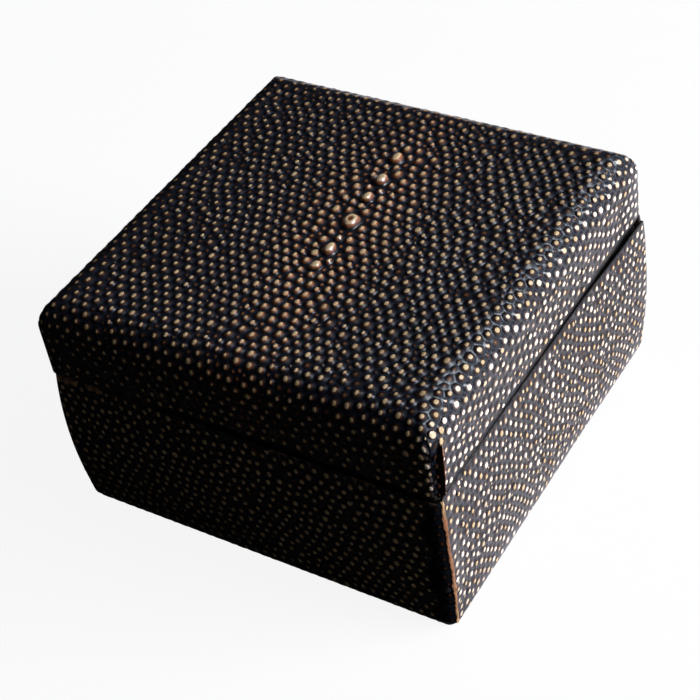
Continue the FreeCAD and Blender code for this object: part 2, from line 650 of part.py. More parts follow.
def build_dropper():
    """Hollow bronze water dropper: a bowl and a top plate with an air hole and a pouring hole."""
    half_x, half_y = "dropper_width / 2", "dropper_length / 2"
    bowl = new_body("dropper_bowl_body")
    pad(bowl, rectangle(bowl, "bowl_plan", half_x, half_y), "dropper_height - dropper_plate")
    soften(bowl, "bowl_corners", "dropper_corner", upright)
    inside = rectangle(bowl, "bowl_inside", f"({half_x} - dropper_wall)", f"({half_y} - dropper_wall)")
    inside.AttachmentOffset = Placement(Vector(0, 0, size("dropper_wall")), Rotation())
    inside.setExpression("AttachmentOffset.Base.z", cell("dropper_wall"))
    pocket(bowl, inside, "dropper_height", upward=True)
    inner_x = size("dropper_width") / 2 - size("dropper_wall") + 0.01
    soften(
        bowl, "bowl_inner_corners", "dropper_corner - dropper_wall",
        lambda box: upright(box) and abs(abs(box.XMin) - inner_x) < 0.05 and box.ZMin > 0.5,
    )
    node("dropper_bowl", place(bowl, STONE_BAY_MIDDLE, DROPPER_Y, TRAY_FLOOR))

    cap = new_body("dropper_cap_body")
    pad(cap, rectangle(cap, "cap_plan", half_x, half_y), "dropper_plate")
    soften(cap, "cap_corners", "dropper_corner", upright)
    top = size("dropper_plate") - 0.01
    soften(cap, "cap_edge", "dropper_edge", lambda box: box.ZMin > top, kind="Chamfer")
    pour_x, pour_y = f"({half_x} - dropper_corner)", f"(dropper_corner - {half_y})"
    pocket(cap, circle(cap, "air_hole", "0 * dropper_hole", "0 * dropper_hole", "dropper_hole"),
           "2 * dropper_plate", upward=True)
    pocket(cap, circle(cap, "pouring_hole", pour_x, pour_y, "dropper_hole"),
           "2 * dropper_plate", upward=True)
    seated = f"({TRAY_FLOOR} + dropper_height - dropper_plate)"
    node("dropper_cap", place(cap, STONE_BAY_MIDDLE, DROPPER_Y, seated))


def build_ink_stick():
    """Pressed ink stick with rounded edges, slanted where it has been ground away."""
    body = new_body("ink_stick_body")
    tail, tip = "-stick_length / 2", "stick_length / 2"
    side = outline(body, "stick_side", "YZ_Plane", (
        (tail, "0 * stick_worn"),
        (f"{tip} - stick_worn", "0 * stick_worn"),
        (tip, "stick_thickness"),
        (tail, "stick_thickness"),
    ))
    pad(body, side, "stick_width", midplane=True)
    worn = size("stick_length") / 2 - size("stick_worn") - 0.01
    soften(body, "stick_edges", "stick_edge", lambda box: box.YLength > 10 or box.YMax < -worn)
    node("ink_stick", place(body, STICK_X, "0", STICK_Z))


def build_brush():
    """Writing brush lying along Y, its tuft to the front, turned about its own axis."""
    handle = new_body("brush_handle_body")
    tail_end, collar_end = BRUSH_TAIL, HANDLE_FRONT
    knuckle = f"({tail_end} - knuckle_place)"
    thick = "handle_diameter / 2"
    profile = outline(handle, "handle_profile", "XY_Plane", (
        ("0 * handle_diameter", collar_end),
        (thick, collar_end),
        (thick, f"{knuckle} - 2 * knuckle_rise"),
        (f"{thick} + knuckle_rise", knuckle),
        (thick, f"{knuckle} + 2 * knuckle_rise"),
        (thick, f"{tail_end} - handle_bevel"),
        (f"{thick} - handle_bevel", tail_end),
        ("0 * handle_diameter", tail_end),
    ))
    turned(handle, profile)
    node("brush_handle", place(handle, BRUSH_X, "0", BRUSH_Z))

    collar = new_body("brush_collar_body")
    mouth = f"({collar_end} - collar_length)"
    wide = "collar_diameter / 2"
    profile = outline(collar, "collar_profile", "XY_Plane", (
        ("0 * collar_length", mouth),
        (f"{wide} - 2 * knuckle_rise", mouth),
        (wide, f"{mouth} + 2 * knuckle_rise"),
        (wide, f"{collar_end} - 2 * knuckle_rise"),
        (f"{wide} - 2 * knuckle_rise", collar_end),
        ("0 * collar_length", collar_end),
    ))
    turned(collar, profile)
    node("brush_collar", place(collar, BRUSH_X, "0", BRUSH_Z))

    tuft = new_body("brush_tuft_body")
    node("brush_tuft", place(tuft, BRUSH_X, "0", BRUSH_Z))
    turned(tuft, outline(tuft, "tuft_profile", "XY_Plane", (
        ("0 * tuft_length", mouth),
        ("tuft_diameter / 2", mouth),
        ("tuft_belly / 2", f"{mouth} - tuft_belly_place"),
        ("tuft_shoulder / 2", f"{mouth} - tuft_shoulder_place"),
        ("tuft_point / 2", f"{mouth} - tuft_length"),
        ("0 * tuft_length", f"{mouth} - tuft_length"),
    )))


# ---------------------------------------------------------------- assembly and export

sectors = {side: mitre_sector(side) for side in SIDES}
build_base()
build_lid()
build_tray()
build_inkstone()
build_dropper()
build_ink_stick()
build_brush()
doc.recompute()

faults = [item.Name for item in doc.Objects if {"Invalid", "Error"} & set(item.State)]
for label, feature in nodes.items():
    shape = feature.Shape
    if shape.isNull() or not shape.isValid() or len(shape.Solids) != 1 or shape.Volume <= 0:
        faults.append(label)
if faults:
    raise RuntimeError("not built: " + ", ".join(faults))

os.makedirs("parts", exist_ok=True)
for label, feature in nodes.items():
    feature.Shape.exportStep(f"parts/{label}.step")
    box = feature.Shape.BoundBox
    print(f"{label:20s} {feature.Shape.Volume:10.1f} mm3  x {box.XMin:7.2f} {box.XMax:7.2f}"
          f"  y {box.YMin:7.2f} {box.YMax:7.2f}  z {box.ZMin:7.2f} {box.ZMax:7.2f}")
print(len(nodes), "nodes")
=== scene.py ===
import math

import bpy
import numpy as np
from mathutils import Matrix, Vector
from mathutils.geometry import delaunay_2d_cdt


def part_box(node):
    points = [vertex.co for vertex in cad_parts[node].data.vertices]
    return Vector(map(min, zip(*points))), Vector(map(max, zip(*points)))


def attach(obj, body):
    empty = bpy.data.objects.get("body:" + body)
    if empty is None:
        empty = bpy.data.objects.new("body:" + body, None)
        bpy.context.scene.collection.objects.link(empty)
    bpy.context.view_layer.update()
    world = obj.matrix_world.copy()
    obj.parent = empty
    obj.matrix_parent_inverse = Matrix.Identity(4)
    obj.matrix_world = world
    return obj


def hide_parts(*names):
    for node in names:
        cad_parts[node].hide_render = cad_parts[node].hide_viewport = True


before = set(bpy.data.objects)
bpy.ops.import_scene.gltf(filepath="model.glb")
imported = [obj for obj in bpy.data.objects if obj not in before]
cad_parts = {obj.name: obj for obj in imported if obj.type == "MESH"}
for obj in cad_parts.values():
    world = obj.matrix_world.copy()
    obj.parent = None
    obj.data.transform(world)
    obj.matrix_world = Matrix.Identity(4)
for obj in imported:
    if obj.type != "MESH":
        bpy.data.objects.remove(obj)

MM = 0.001
join = np.concatenate
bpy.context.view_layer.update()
scene = bpy.context.scene


def new_object(name, data):
    thing = bpy.data.objects.new(name, data)
    scene.collection.objects.link(thing)
    return thing


# ---- node helpers
class Nodes:
    """A short way to write a node tree."""

    def __init__(self, tree):
        self.tree = tree
        tree.nodes.clear()

    def node(self, kind, **settings):
        made = self.tree.nodes.new(kind)
        for key, value in settings.items():
            setattr(made, key, value)
        return made

    def link(self, source, target):
        self.tree.links.new(source, target)

    def put(self, value, target):
        """A socket is linked, and a number or colour is set."""
        if isinstance(value, bpy.types.NodeSocket):
            self.link(value, target)
        elif isinstance(value, tuple) and len(target.default_value) == 4:
            target.default_value = (*value, 1.0)
        else:
            target.default_value = value

    def ramp(self, factor, *stops):
        """stops are (position, value or colour)."""
        made = self.node("ShaderNodeValToRGB")
        self.link(factor, made.inputs["Fac"])
        points = made.color_ramp.elements
        while len(points) < len(stops):
            points.new(0.5)
        for point, (position, value) in zip(points, stops):
            point.position = position
            point.color = (*value, 1) if isinstance(value, tuple) else (value, value, value, 1)
        return made.outputs["Color"]

    def mix(self, factor, a, b, blend="MIX"):
        made = self.node("ShaderNodeMix", data_type="RGBA", blend_type=blend)
        for value, number in ((factor, 0), (a, 6), (b, 7)):
            self.put(value, made.inputs[number])
        return made.outputs[2]

    def dot(self, vector, towards):
        made = self.node("ShaderNodeVectorMath", operation="DOT_PRODUCT")
        self.put(vector, made.inputs[0])
        self.put(towards, made.inputs[1])
        return made.outputs["Value"]

    def glow(self, kind, colour):
        """A shader that gives out a colour at a strength of 1."""
        made = self.node(kind)
        self.put(colour, made.inputs["Color"])
        made.inputs["Strength"].default_value = 1.0
        return made.outputs[0]

    def blend(self, share, first, second):
        """Mixes two shaders."""
        made = self.node("ShaderNodeMixShader")
        for value, target in zip((share, first, second), made.inputs):
            self.put(value, target)
        return made.outputs["Shader"]


class Shader(Nodes):
    """A material with one Principled shader."""

    def __init__(self, name):
        self.material = bpy.data.materials.new(name)
        self.material.use_nodes = True
        super().__init__(self.material.node_tree)
        self.out = self.node("ShaderNodeOutputMaterial")
        self.bsdf = self.node("ShaderNodeBsdfPrincipled")
        self.link(self.bsdf.outputs["BSDF"], self.out.inputs["Surface"])

    def attribute(self, name):
        made = self.node("ShaderNodeAttribute", attribute_name=name)
        split = self.node("ShaderNodeSeparateColor")
        self.link(made.outputs["Color"], split.inputs["Color"])
        return split.outputs[:]

    def place(self, scale=(1.0, 1.0, 1.0)):
        """Object coordinates in metres, stretched."""
        where = self.node("ShaderNodeTexCoord")
        mapping = self.node("ShaderNodeMapping")
        mapping.inputs["Scale"].default_value = scale
        self.link(where.outputs["Object"], mapping.inputs["Vector"])
        return mapping.outputs["Vector"]

    def noise(self, place, scale, detail=3.0, roughness=0.55, distortion=0.0):
        made = self.node("ShaderNodeTexNoise")
        self.link(place, made.inputs["Vector"])
        for key, value in (("Scale", scale), ("Detail", detail),
                           ("Roughness", roughness), ("Distortion", distortion)):
            made.inputs[key].default_value = value
        return made.outputs["Fac"]

    def cells(self, place, scale, output="Distance"):
        made = self.node("ShaderNodeTexVoronoi")
        self.link(place, made.inputs["Vector"])
        made.inputs["Scale"].default_value = scale
        return made.outputs[output]

    def math(self, operation, a, b, clamp=False):
        made = self.node("ShaderNodeMath", operation=operation, use_clamp=clamp)
        self.put(a, made.inputs[0])
        self.put(b, made.inputs[1])
        return made.outputs[0]

    def done(self, colour, rough, relief=None, **values):
        """Sets the shader's values. relief is a bump's height, distance and strength."""
        if relief:
            bump = self.node("ShaderNodeBump")
            for name, value in zip(("Height", "Distance", "Strength"), relief):
                self.put(value, bump.inputs[name])
            self.link(bump.outputs["Normal"], self.bsdf.inputs["Normal"])
        for key, value in dict(values, Base_Color=colour, Roughness=rough).items():
            self.put(value, self.bsdf.inputs[key.replace("_", " ")])
        return self.material


# ---- materials
def ray_skin_material():
    """Lacquered ray skin: pale tops ground flat, brown shoulders, black glossy ground, with a
    painted blue-grey sheen on the ridges and painted light on the side towards the lamps.
    """
    m = Shader("ray_skin_polished")
    top, ridge, tone = m.attribute("pearl")
    raw, warm, edge = m.attribute("wear")
    here = m.place()
    mottle = m.noise(here, 1400.0, 2.0)
    cloud = m.noise(here, 60.0, 2.0)
    # The ridges between pearls are painted blue-grey: a painted sheen, the window's reflection on
    # the black lacquer.
    ground = m.mix(ridge, (0.0026, 0.0021, 0.0023), (0.0062, 0.0084, 0.0145))
    # Where the tone runs past about 0.96, as on the right side of lid and base, pearls, shoulders
    # and rims turn whiter and greyer: painted light from the lamps on that side.
    painted_sidelight = m.ramp(m.math("SUBTRACT", tone, 0.8), (0.16, 0.0), (0.72, 1.0))
    shoulder = m.mix(warm, (0.012, 0.0075, 0.006), (0.135, 0.046, 0.018))
    shoulder = m.mix(painted_sidelight, shoulder, (0.075, 0.058, 0.056))
    colour = m.mix(m.ramp(top, (0.08, 0.0), (0.4, 1.0)), ground, shoulder)
    rim = m.mix(warm, (0.045, 0.02, 0.01), (0.27, 0.108, 0.041))
    rim = m.mix(painted_sidelight, rim, (0.3, 0.215, 0.175))
    colour = m.mix(m.ramp(top, (0.44, 0.0), (0.68, 1.0)), colour, rim)
    # The pale tops follow the tone, which differs at random and also carries painted light and
    # shade by place.
    pale = m.mix(tone, (0.29, 0.2, 0.098), (0.58, 0.445, 0.255))
    pale = m.mix(m.ramp(warm, (0.2, 0.0), (1.0, 0.55)), pale, (0.56, 0.385, 0.2))
    pale = m.mix(m.ramp(mottle, (0.35, 0.28), (0.7, 0.0)), pale, (0.19, 0.13, 0.06))
    pale = m.mix(m.ramp(cloud, (0.35, 0.25), (0.6, 0.0)), pale, (0.2, 0.13, 0.07))
    pale = m.mix(painted_sidelight, pale, (0.84, 0.75, 0.6))
    colour = m.mix(m.ramp(top, (0.7, 0.0), (0.79, 1.0)), colour, pale)
    fibre = m.noise(m.place((1.0, 1.0, 3.0)), 900.0, 4.0, 0.6)
    leather = m.mix(fibre, (0.085, 0.03, 0.014), (0.5, 0.27, 0.13))
    bare = m.math("MULTIPLY", raw, m.ramp(m.noise(here, 700.0, 3.0), (0.3, 0.15), (0.55, 1.0)))
    colour = m.mix(bare, colour, leather)
    rub = m.math("MULTIPLY", edge, m.ramp(m.noise(here, 350.0, 3.0), (0.48, 0.0), (0.66, 0.75)))
    colour = m.mix(rub, colour, (0.3, 0.2, 0.11))
    rough = m.ramp(top, (0.1, 0.31), (0.55, 0.3), (0.8, 0.44), (1.0, 0.36))
    rough = m.mix(m.ramp(tone, (0.93, 0.0), (0.99, 1.0)), rough, (0.13, 0.13, 0.13))
    rough = m.mix(bare, rough, (0.62, 0.62, 0.62))
    share = m.ramp(top, (0.25, 0.0), (0.6, 1.0))
    shine = m.math("MULTIPLY", m.ramp(tone, (0.92, 0.16), (0.99, 1.0)),
                   m.ramp(painted_sidelight, (0.2, 1.0), (0.8, 0.5)))
    # The lacquer reflects less towards each pearl's foot than on the ridges: painted shade round
    # the pearls.
    gloss = m.mix(share, m.ramp(ridge, (0.15, 0.4), (0.85, 0.62)), shine)
    coat = m.mix(share, (0.25, 0.25, 0.25), shine)
    # A tone of −1 turns off the reflection and coat: painted shade.
    unlit = m.ramp(m.math("ADD", tone, 1.0), (0.2, 0.0), (0.9, 1.0))
    fine = m.mix(0.5, m.noise(here, 2400.0, 2.0), m.noise(here, 850.0, 2.0))
    fine = m.mix(m.ramp(tone, (0.95, 0.0), (0.99, 0.85)), fine, (0.5, 0.5, 0.5))
    return m.done(colour, rough, (fine, 0.00012, 0.8),
                  Specular_IOR_Level=m.math("MULTIPLY", gloss, unlit),
                  Coat_Weight=m.math("MULTIPLY", unlit, coat), Coat_Roughness=0.22)


def seam_material():
    """The raw edges of two hides where they meet at a corner."""
    m = Shader("hide_edge")
    raw, light, _ = m.attribute("wear")
    here = m.place((1.0, 1.0, 0.35))
    fibre = m.noise(here, 1500.0, 4.0, 0.65)
    blot = m.noise(m.place(), 260.0, 3.0)
    colour = m.mix(fibre, (0.1, 0.028, 0.016), (0.34, 0.135, 0.075))
    colour = m.mix(m.ramp(blot, (0.5, 0.0), (0.72, 0.85)), colour, (0.03, 0.012, 0.009))
    colour = m.mix(light, colour, (0.52, 0.35, 0.18))
    # Where the edge is not raw it is near black: painted shade.
    colour = m.mix(raw, (0.001, 0.0006, 0.0005), colour)
    # The edges reflect nothing, which keeps them dark as painted shade.
    return m.done(colour, 0.8, (fibre, 0.00025, 0.8), Specular_IOR_Level=0.0)


def lacquer_material(name, dark, light, flecks=0.0, grain=0.25):
    """Urushi over wood: deep gloss, faint brush marks and grain, fine dust scratches."""
    m = Shader(name)
    here = m.place()
    cloud = m.noise(here, 45.0, 3.0)
    marks = m.noise(m.place((1.0, 14.0, 14.0)), 60.0, 3.0)
    colour = m.mix(m.ramp(cloud, (0.3, 0.0), (0.7, 1.0)), dark, light)
    colour = m.mix(m.ramp(marks, (0.45, 0.0), (0.75, grain)), colour, light)
    if flecks:
        dust = m.cells(here, 1050.0)
        chance = m.cells(here, 1050.0, output="Color")
        picked = m.ramp(chance, (0.7, 0.0), (0.74, 1.0))
        gold = m.math("MULTIPLY", m.ramp(dust, (0.14, flecks), (0.22, 0.0)), picked)
        colour = m.mix(gold, colour, (0.62, 0.38, 0.11))
    rough = m.ramp(m.noise(here, 420.0, 4.0), (0.35, 0.14), (0.75, 0.27))
    return m.done(colour, rough, (marks, 0.00005, 0.35), Coat_Weight=0.5, Coat_Roughness=0.08)


def rim_material():
    """The wooden walls behind the hides: dull black lacquer, dusty in the joint."""
    m = Shader("lacquer_rim")
    here = m.place()
    dust = m.noise(here, 300.0, 4.0)
    colour = m.mix(m.ramp(dust, (0.45, 0.0), (0.75, 1.0)), (0.0018, 0.0016, 0.0016),
                   (0.0075, 0.0065, 0.006))
    return m.done(colour, m.ramp(dust, (0.3, 0.5), (0.7, 0.7)), (dust, 0.00005, 0.4),
                  Specular_IOR_Level=0.1)


def slate_material():
    """The inkstone: fine purple-black slate with greyer specks, ink in the well."""
    m = Shader("inkstone_slate")
    here = m.place()
    layers = m.noise(m.place((0.35, 1.0, 6.0)), 130.0, 5.0, 0.6)
    speck = m.noise(here, 2600.0, 2.0)
    colour = m.mix(layers, (0.018, 0.016, 0.02), (0.06, 0.054, 0.06))
    colour = m.mix(m.ramp(speck, (0.62, 0.0), (0.75, 0.45)), colour, (0.13, 0.12, 0.12))
    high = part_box("inkstone")[1]
    parts = m.node("ShaderNodeSeparateXYZ")
    m.link(here, parts.inputs["Vector"])
    depth = m.math("SUBTRACT", high.z - 0.0024, parts.outputs["Z"])
    wet = m.ramp(m.math("MULTIPLY", depth, 400.0), (0.0, 0.0), (0.35, 1.0))
    stain = m.math("MULTIPLY", wet, m.ramp(m.noise(here, 90.0, 4.0), (0.3, 0.55), (0.6, 1.0)))
    colour = m.mix(stain, colour, (0.0035, 0.0032, 0.0038))
    rough = m.mix(stain, m.ramp(layers, (0.3, 0.46), (0.7, 0.66)), (0.22, 0.22, 0.22))
    return m.done(colour, rough, (m.mix(0.5, layers, speck), 0.0001, 0.6))


def bronze_material():
    """The water dropper: brown patinated bronze, brighter in patches, with green spots."""
    m = Shader("dropper_bronze")
    here = m.place()
    patina = m.noise(here, 170.0, 5.0, 0.6)
    spots = m.noise(here, 900.0, 3.0)
    colour = m.mix(patina, (0.105, 0.048, 0.02), (0.36, 0.205, 0.085))
    green = m.ramp(m.noise(here, 320.0, 4.0), (0.6, 0.0), (0.76, 0.55))
    colour = m.mix(green, colour, (0.075, 0.115, 0.075))
    rough = m.mix(green, m.ramp(spots, (0.3, 0.26), (0.75, 0.46)), (0.75, 0.75, 0.75))
    metal = m.ramp(green, (0.0, 1.0), (0.55, 0.35))
    return m.done(colour, rough, (m.mix(0.5, patina, spots), 0.00012, 0.5), Metallic=metal)


def ink_material():
    """The ink stick: pressed pine soot and glue, with faint grey specks and pores."""
    m = Shader("ink_stick_soot")
    here = m.place()
    fine = m.noise(here, 1800.0, 4.0)
    pores = m.cells(here, 1300.0)
    cloud = m.noise(here, 120.0, 3.0)
    colour = m.mix(cloud, (0.0065, 0.0062, 0.0075), (0.022, 0.021, 0.025))
    colour = m.mix(m.ramp(fine, (0.62, 0.0), (0.8, 0.5)), colour, (0.055, 0.052, 0.058))
    relief = m.mix(0.5, fine, m.ramp(pores, (0.0, 0.0), (0.25, 1.0)))
    return m.done(colour, m.ramp(cloud, (0.3, 0.34), (0.7, 0.62)), (relief, 0.00007, 0.6))


def bamboo_material():
    """The brush handle: straw-coloured bamboo with long dark fibres and darker clouds."""
    m = Shader("handle_bamboo")
    long = m.place((1.0, 0.035, 1.0))
    fibre = m.noise(long, 2600.0, 4.0, 0.65)
    streak = m.noise(long, 900.0, 3.0)
    cloud = m.noise(m.place(), 75.0, 3.0)
    colour = m.mix(fibre, (0.42, 0.245, 0.095), (0.68, 0.47, 0.225))
    colour = m.mix(m.ramp(streak, (0.56, 0.0), (0.72, 0.6)), colour, (0.22, 0.105, 0.035))
    colour = m.mix(m.ramp(cloud, (0.35, 0.35), (0.62, 0.0)), colour, (0.3, 0.155, 0.055))
    return m.done(colour, m.ramp(fibre, (0.3, 0.3), (0.75, 0.48)), (fibre, 0.0001, 0.5),
                  Coat_Weight=0.15, Coat_Roughness=0.2)


def horn_material():
    """The collar: dark buffalo horn with paler layers."""
    m = Shader("collar_horn")
    layer = m.noise(m.place((1.0, 0.25, 1.0)), 520.0, 4.0, 0.6, 0.6)
    colour = m.mix(m.ramp(layer, (0.42, 0.0), (0.72, 1.0)), (0.013, 0.01, 0.009),
                   (0.165, 0.105, 0.06))
    return m.done(colour, m.ramp(layer, (0.3, 0.18), (0.7, 0.32)), (layer, 0.00005, 0.3),
                  Coat_Weight=0.2, Coat_Roughness=0.12)


def hair_material():
    """Goat and weasel hair, ink-stained towards the point."""
    m = Shader("tuft_hair")
    along, shade, _ = m.attribute("wear")
    fine = m.noise(m.place((1.0, 0.08, 1.0)), 4200.0, 2.0)
    hair = m.mix(shade, (0.29, 0.165, 0.075), (0.74, 0.6, 0.42))
    hair = m.mix(m.ramp(fine, (0.35, 0.5), (0.65, 0.0)), hair, (0.2, 0.1, 0.045))
    colour = m.mix(m.ramp(along, (0.46, 0.0), (0.78, 1.0)), hair, (0.012, 0.011, 0.013))
    return m.done(colour, m.ramp(along, (0.4, 0.62), (0.9, 0.34)), Sheen_Weight=0.15)


# ---- hides, lengths in mm
BASE_JOINT = 42.0  # height of the joint
HIDE = 0.78  # thickness
TOP_HALF, TOP_Z, ROLL, CROWN = 43.5, 62.0, 6.8, 0.4  # the lid's top, its rolled edge and dome
ROLL_RUN = ROLL * math.pi / 2
TURNED = 8.2  # how far down the lid's corner the hide spreads before it is cut
CORNER = 2.4  # radius of the base's upright corners
BELLY_X, BELLY_Z, BELLY_R = 51.0, 23.3, 175.3  # the swell of the base's sides
FOOT_Z = FOOT_R = 3.8
BELLY_TOP = math.asin((BASE_JOINT - BELLY_Z) / BELLY_R)
BELLY_FOOT = math.asin((FOOT_Z - BELLY_Z) / BELLY_R)
BELLY_RUN = BELLY_R * (BELLY_TOP - BELLY_FOOT)
BASE_RUN = BELLY_RUN + FOOT_R * math.pi / 2
OUTLINE_STEP = 0.85  # between the points of a hide's outline
OUTLINE_ROOM = 0.32  # an outline point's room beside a pearl's
PEARL_ENDS, FOOT_ENDS = 0.72, 0.82  # at most, on the way from a pearl to its cell's outline
DISH_ROOM = 2.8  # a larger pearl is sunk in its middle
FULL_TURN = 2 * math.pi
SIDES = ("front", "right", "back", "left")
GAPS = {  # how far lid and base stand apart along each side
    "front": ((-50, -32, -15, -4, 20, 48, 52), (0.15, 0.2, 0.9, 1.9, 1.9, 1.8, 1.3)),
    "right": ((-50, -37, -27, -4, 14, 24, 50), (0.85, 1.1, 1.3, 1.7, 1.9, 2.0, 1.8)),
    "back": ((-50, -12, 20, 50), (1.7, 1.2, 1.4, 1.0)),
    "left": ((-50, -10, 25, 50), (1.0, 1.3, 0.7, 0.2)),
}


def eased(value):
    value = np.clip(value, 0.0, 1.0)
    return value * value * (3.0 - 2.0 * value)


def gap(side, along):
    return np.interp(along, *GAPS[side])


def to_side(side, along, out, up):
    """From a side's own lengths (along it, out of it, up) to x, y, z."""
    turned = {"front": (along, -out, up), "right": (out, along, up),
              "back": (-along, out, up), "left": (-out, -along, up)}
    return np.stack(turned[side], -1)


def seam_reach(drop):
    """The breadth of lid hide past a corner's start, which turns the corner."""
    return np.where(drop <= TURNED, drop, TURNED - 1.3 * eased((drop - TURNED) / 4.8))


def lid_place(flat):
    """Where a point of the lid's flat hide lies on the lid."""
    u, v = flat.T
    swap = np.abs(v) > np.abs(u)
    a, b = np.where(swap, v, u), np.where(swap, u, v)
    drop = np.abs(a) - TOP_HALF
    over = np.maximum(np.abs(b) - TOP_HALF, 0.0)
    down = np.maximum(drop, 0.0)
    turn = np.clip(over / np.maximum(seam_reach(down), 1e-6), 0.0, 1.0)
    power = 7.0  # how square the rounded corner is
    extra = np.where(down < TURNED, down, TURNED * (1.0 - eased((down - TURNED) / 9.0)))
    stretch = (1.0 + turn ** power) ** (1.0 / power)
    path = down + extra * (stretch - 1.0)
    bend = np.minimum(path / ROLL, math.pi / 2)
    out = ROLL * np.sin(bend)
    far = np.where(drop > 0, TOP_HALF + out / stretch, np.abs(a))
    wide = np.where((drop > 0) & (over > 0), TOP_HALF + out * turn / stretch, np.abs(b))
    z = TOP_Z - ROLL * (1.0 - np.cos(bend)) - np.maximum(path - ROLL_RUN, 0.0)
    p, q = (np.minimum(np.abs(length) / TOP_HALF, 1.0) ** 2 for length in (a, b))
    z = z + CROWN * (1.0 - p) * (1.0 - q)
    far, wide = far * np.sign(a), wide * np.where(b < 0, -1.0, 1.0)
    return np.stack([np.where(swap, wide, far), np.where(swap, far, wide), z], -1)


def profile(s):
    """Half-breadth and height of the base at a length s down its side from the joint."""
    angle = BELLY_TOP - np.minimum(s, BELLY_RUN) / BELLY_R
    foot = np.maximum(s - BELLY_RUN, 0.0) / FOOT_R
    edge = BELLY_X - BELLY_R * (1.0 - math.cos(BELLY_FOOT)) - FOOT_R
    out = np.where(s > BELLY_RUN, edge + FOOT_R * np.cos(foot),
                   BELLY_X - BELLY_R * (1.0 - np.cos(angle)))
    up = np.where(s > BELLY_RUN, FOOT_Z - FOOT_R * np.sin(foot),
                  BELLY_Z + BELLY_R * np.sin(angle))
    return out, up


def seam_along(lean, s):
    """From a base panel's middle to its seam, lean being the seam's angle off the corner."""
    return profile(s)[0] - CORNER + (math.pi / 4 + lean) * CORNER


def base_place(side):
    def place(flat):
        along, s = flat[:, 0], -flat[:, 1]
        out, up = profile(s)
        # the back right corner swells out most, as in the photo
        far = {"right": along, "back": -along}.get(side, 0.0 * along)
        full = np.interp(s, (0.0, 12.0, 30.0, 44.0), (1.0, 0.5, 0.4, 0.3))
        out = out + full * eased((far - 12.0) / 34.0)
        axis = out - CORNER
        over = np.maximum(np.abs(along) - axis, 0.0) / CORNER
        length = np.where(over > 0, axis + CORNER * np.sin(over), np.abs(along))
        reach = axis + CORNER * np.cos(over)
        return to_side(side, length * np.sign(along), reach, up)
    return place


def raised(place, flat, height, step=0.02):
    """Places lifted along their normals, found by steps towards the flat middle."""
    inward = -np.sign(flat) * step
    inward[inward == 0] = step
    here = place(flat)
    along_u = place(flat + inward * [1.0, 0.0]) - here
    along_v = place(flat + inward * [0.0, 1.0]) - here
    normal = np.cross(along_u / inward[:, :1], along_v / inward[:, 1:])
    normal /= np.maximum(np.linalg.norm(normal, axis=1, keepdims=True), 1e-12)
    return here + normal * height[:, None]


def crossed(a, b):
    return a[..., 0] * b[..., 1] - a[..., 1] * b[..., 0]


def turns(points, triangles):
    """Twice each triangle's area, above 0 where it runs anticlockwise."""
    first, second, third = (points[triangles[:, k]] for k in range(3))
    return crossed(second - first, third - first)


def balance(points, triangles, room):
    """The point in each triangle that lies nearest its smallest corners."""
    share = 1.0 / room[triangles]
    return (points[triangles] * share[:, :, None]).sum(1) / share.sum(1, keepdims=True)


def inside(points, loop):
    """Which points lie in a closed loop."""
    x, y = points[:, :1], points[:, 1:]
    (x0, y0), (x1, y1) = loop.T, np.roll(loop, -1, axis=0).T
    crosses = (y0 > y) != (y1 > y)
    at = x0 + (y - y0) * (x1 - x0) / np.where(np.abs(y1 - y0) < 1e-9, 1e-9, y1 - y0)
    return (np.sum(crosses & (x < at), axis=1) % 2) == 1


def nearest(points, others):
    best = np.full(len(points), 1e9)
    for start in range(0, len(others), 200):
        part = others[start:start + 200]
        gaps = np.linalg.norm(points[:, None] - part[None], axis=2)
        best = np.minimum(best, gaps.min(1))
    return best


def outline(corners):
    """A closed loop of points along straight runs between corners."""
    out = []
    corners = np.asarray(corners, float)
    for start, end in zip(corners, np.roll(corners, -1, axis=0)):
        count = max(1, int(round(np.linalg.norm(end - start) / OUTLINE_STEP)))
        out += [start + (end - start) * i / count for i in range(count)]
    return np.array(out)


def triangulate(points, loop_start):
    """Triangles of points whose last ones, from loop_start, are a closed boundary."""
    count = len(points)
    ring = list(range(loop_start, count))
    edges = list(zip(ring, ring[1:] + ring[:1]))
    verts, _, faces, from_verts, _, _ = delaunay_2d_cdt(
        [Vector(p) for p in points], edges, [], 1, 1e-7)
    if len(verts) != count:
        raise RuntimeError("the hide's points ran into each other")
    source = np.array([f[0] for f in from_verts])
    return source[np.array([list(f) for f in faces if len(f) == 3])]


def lattice(half_u, half_v, pitch, seed, jitter, warp, lengths, turn=0.0):
    """Close-packed rows of points, warped by waves of three lengths."""
    rng = np.random.default_rng(seed)
    row = pitch * 0.866
    i, j = np.meshgrid(np.arange(int(2 * (half_u + 8) / pitch) + 2),
                       np.arange(int(2 * (half_v + 8) / row) + 2))
    x = (i + 0.5 * (j % 2)) * pitch - half_u - 8
    y = j * pitch * 0.866 - half_v - 8
    c, s = math.cos(turn), math.sin(turn)
    points = np.stack([x.ravel(), y.ravel()], -1) @ np.array([[c, s], [-s, c]])
    phases = rng.uniform(0, FULL_TURN, 8)
    x, y = points.T
    shift = [sum(weight * np.sin(FULL_TURN * run / length + phase) for weight, run, length, phase
                 in zip((1.0, 0.6, 0.4), runs, lengths, starts))
             for runs, starts in (((y, x + y, x * 0.7 - y), phases[:3]),
                                  ((x, x - y, x + 0.6 * y), phases[3:6]))]
    points = points + warp * np.stack(shift, -1) * 0.5
    return points + rng.normal(0, jitter * pitch, points.shape)


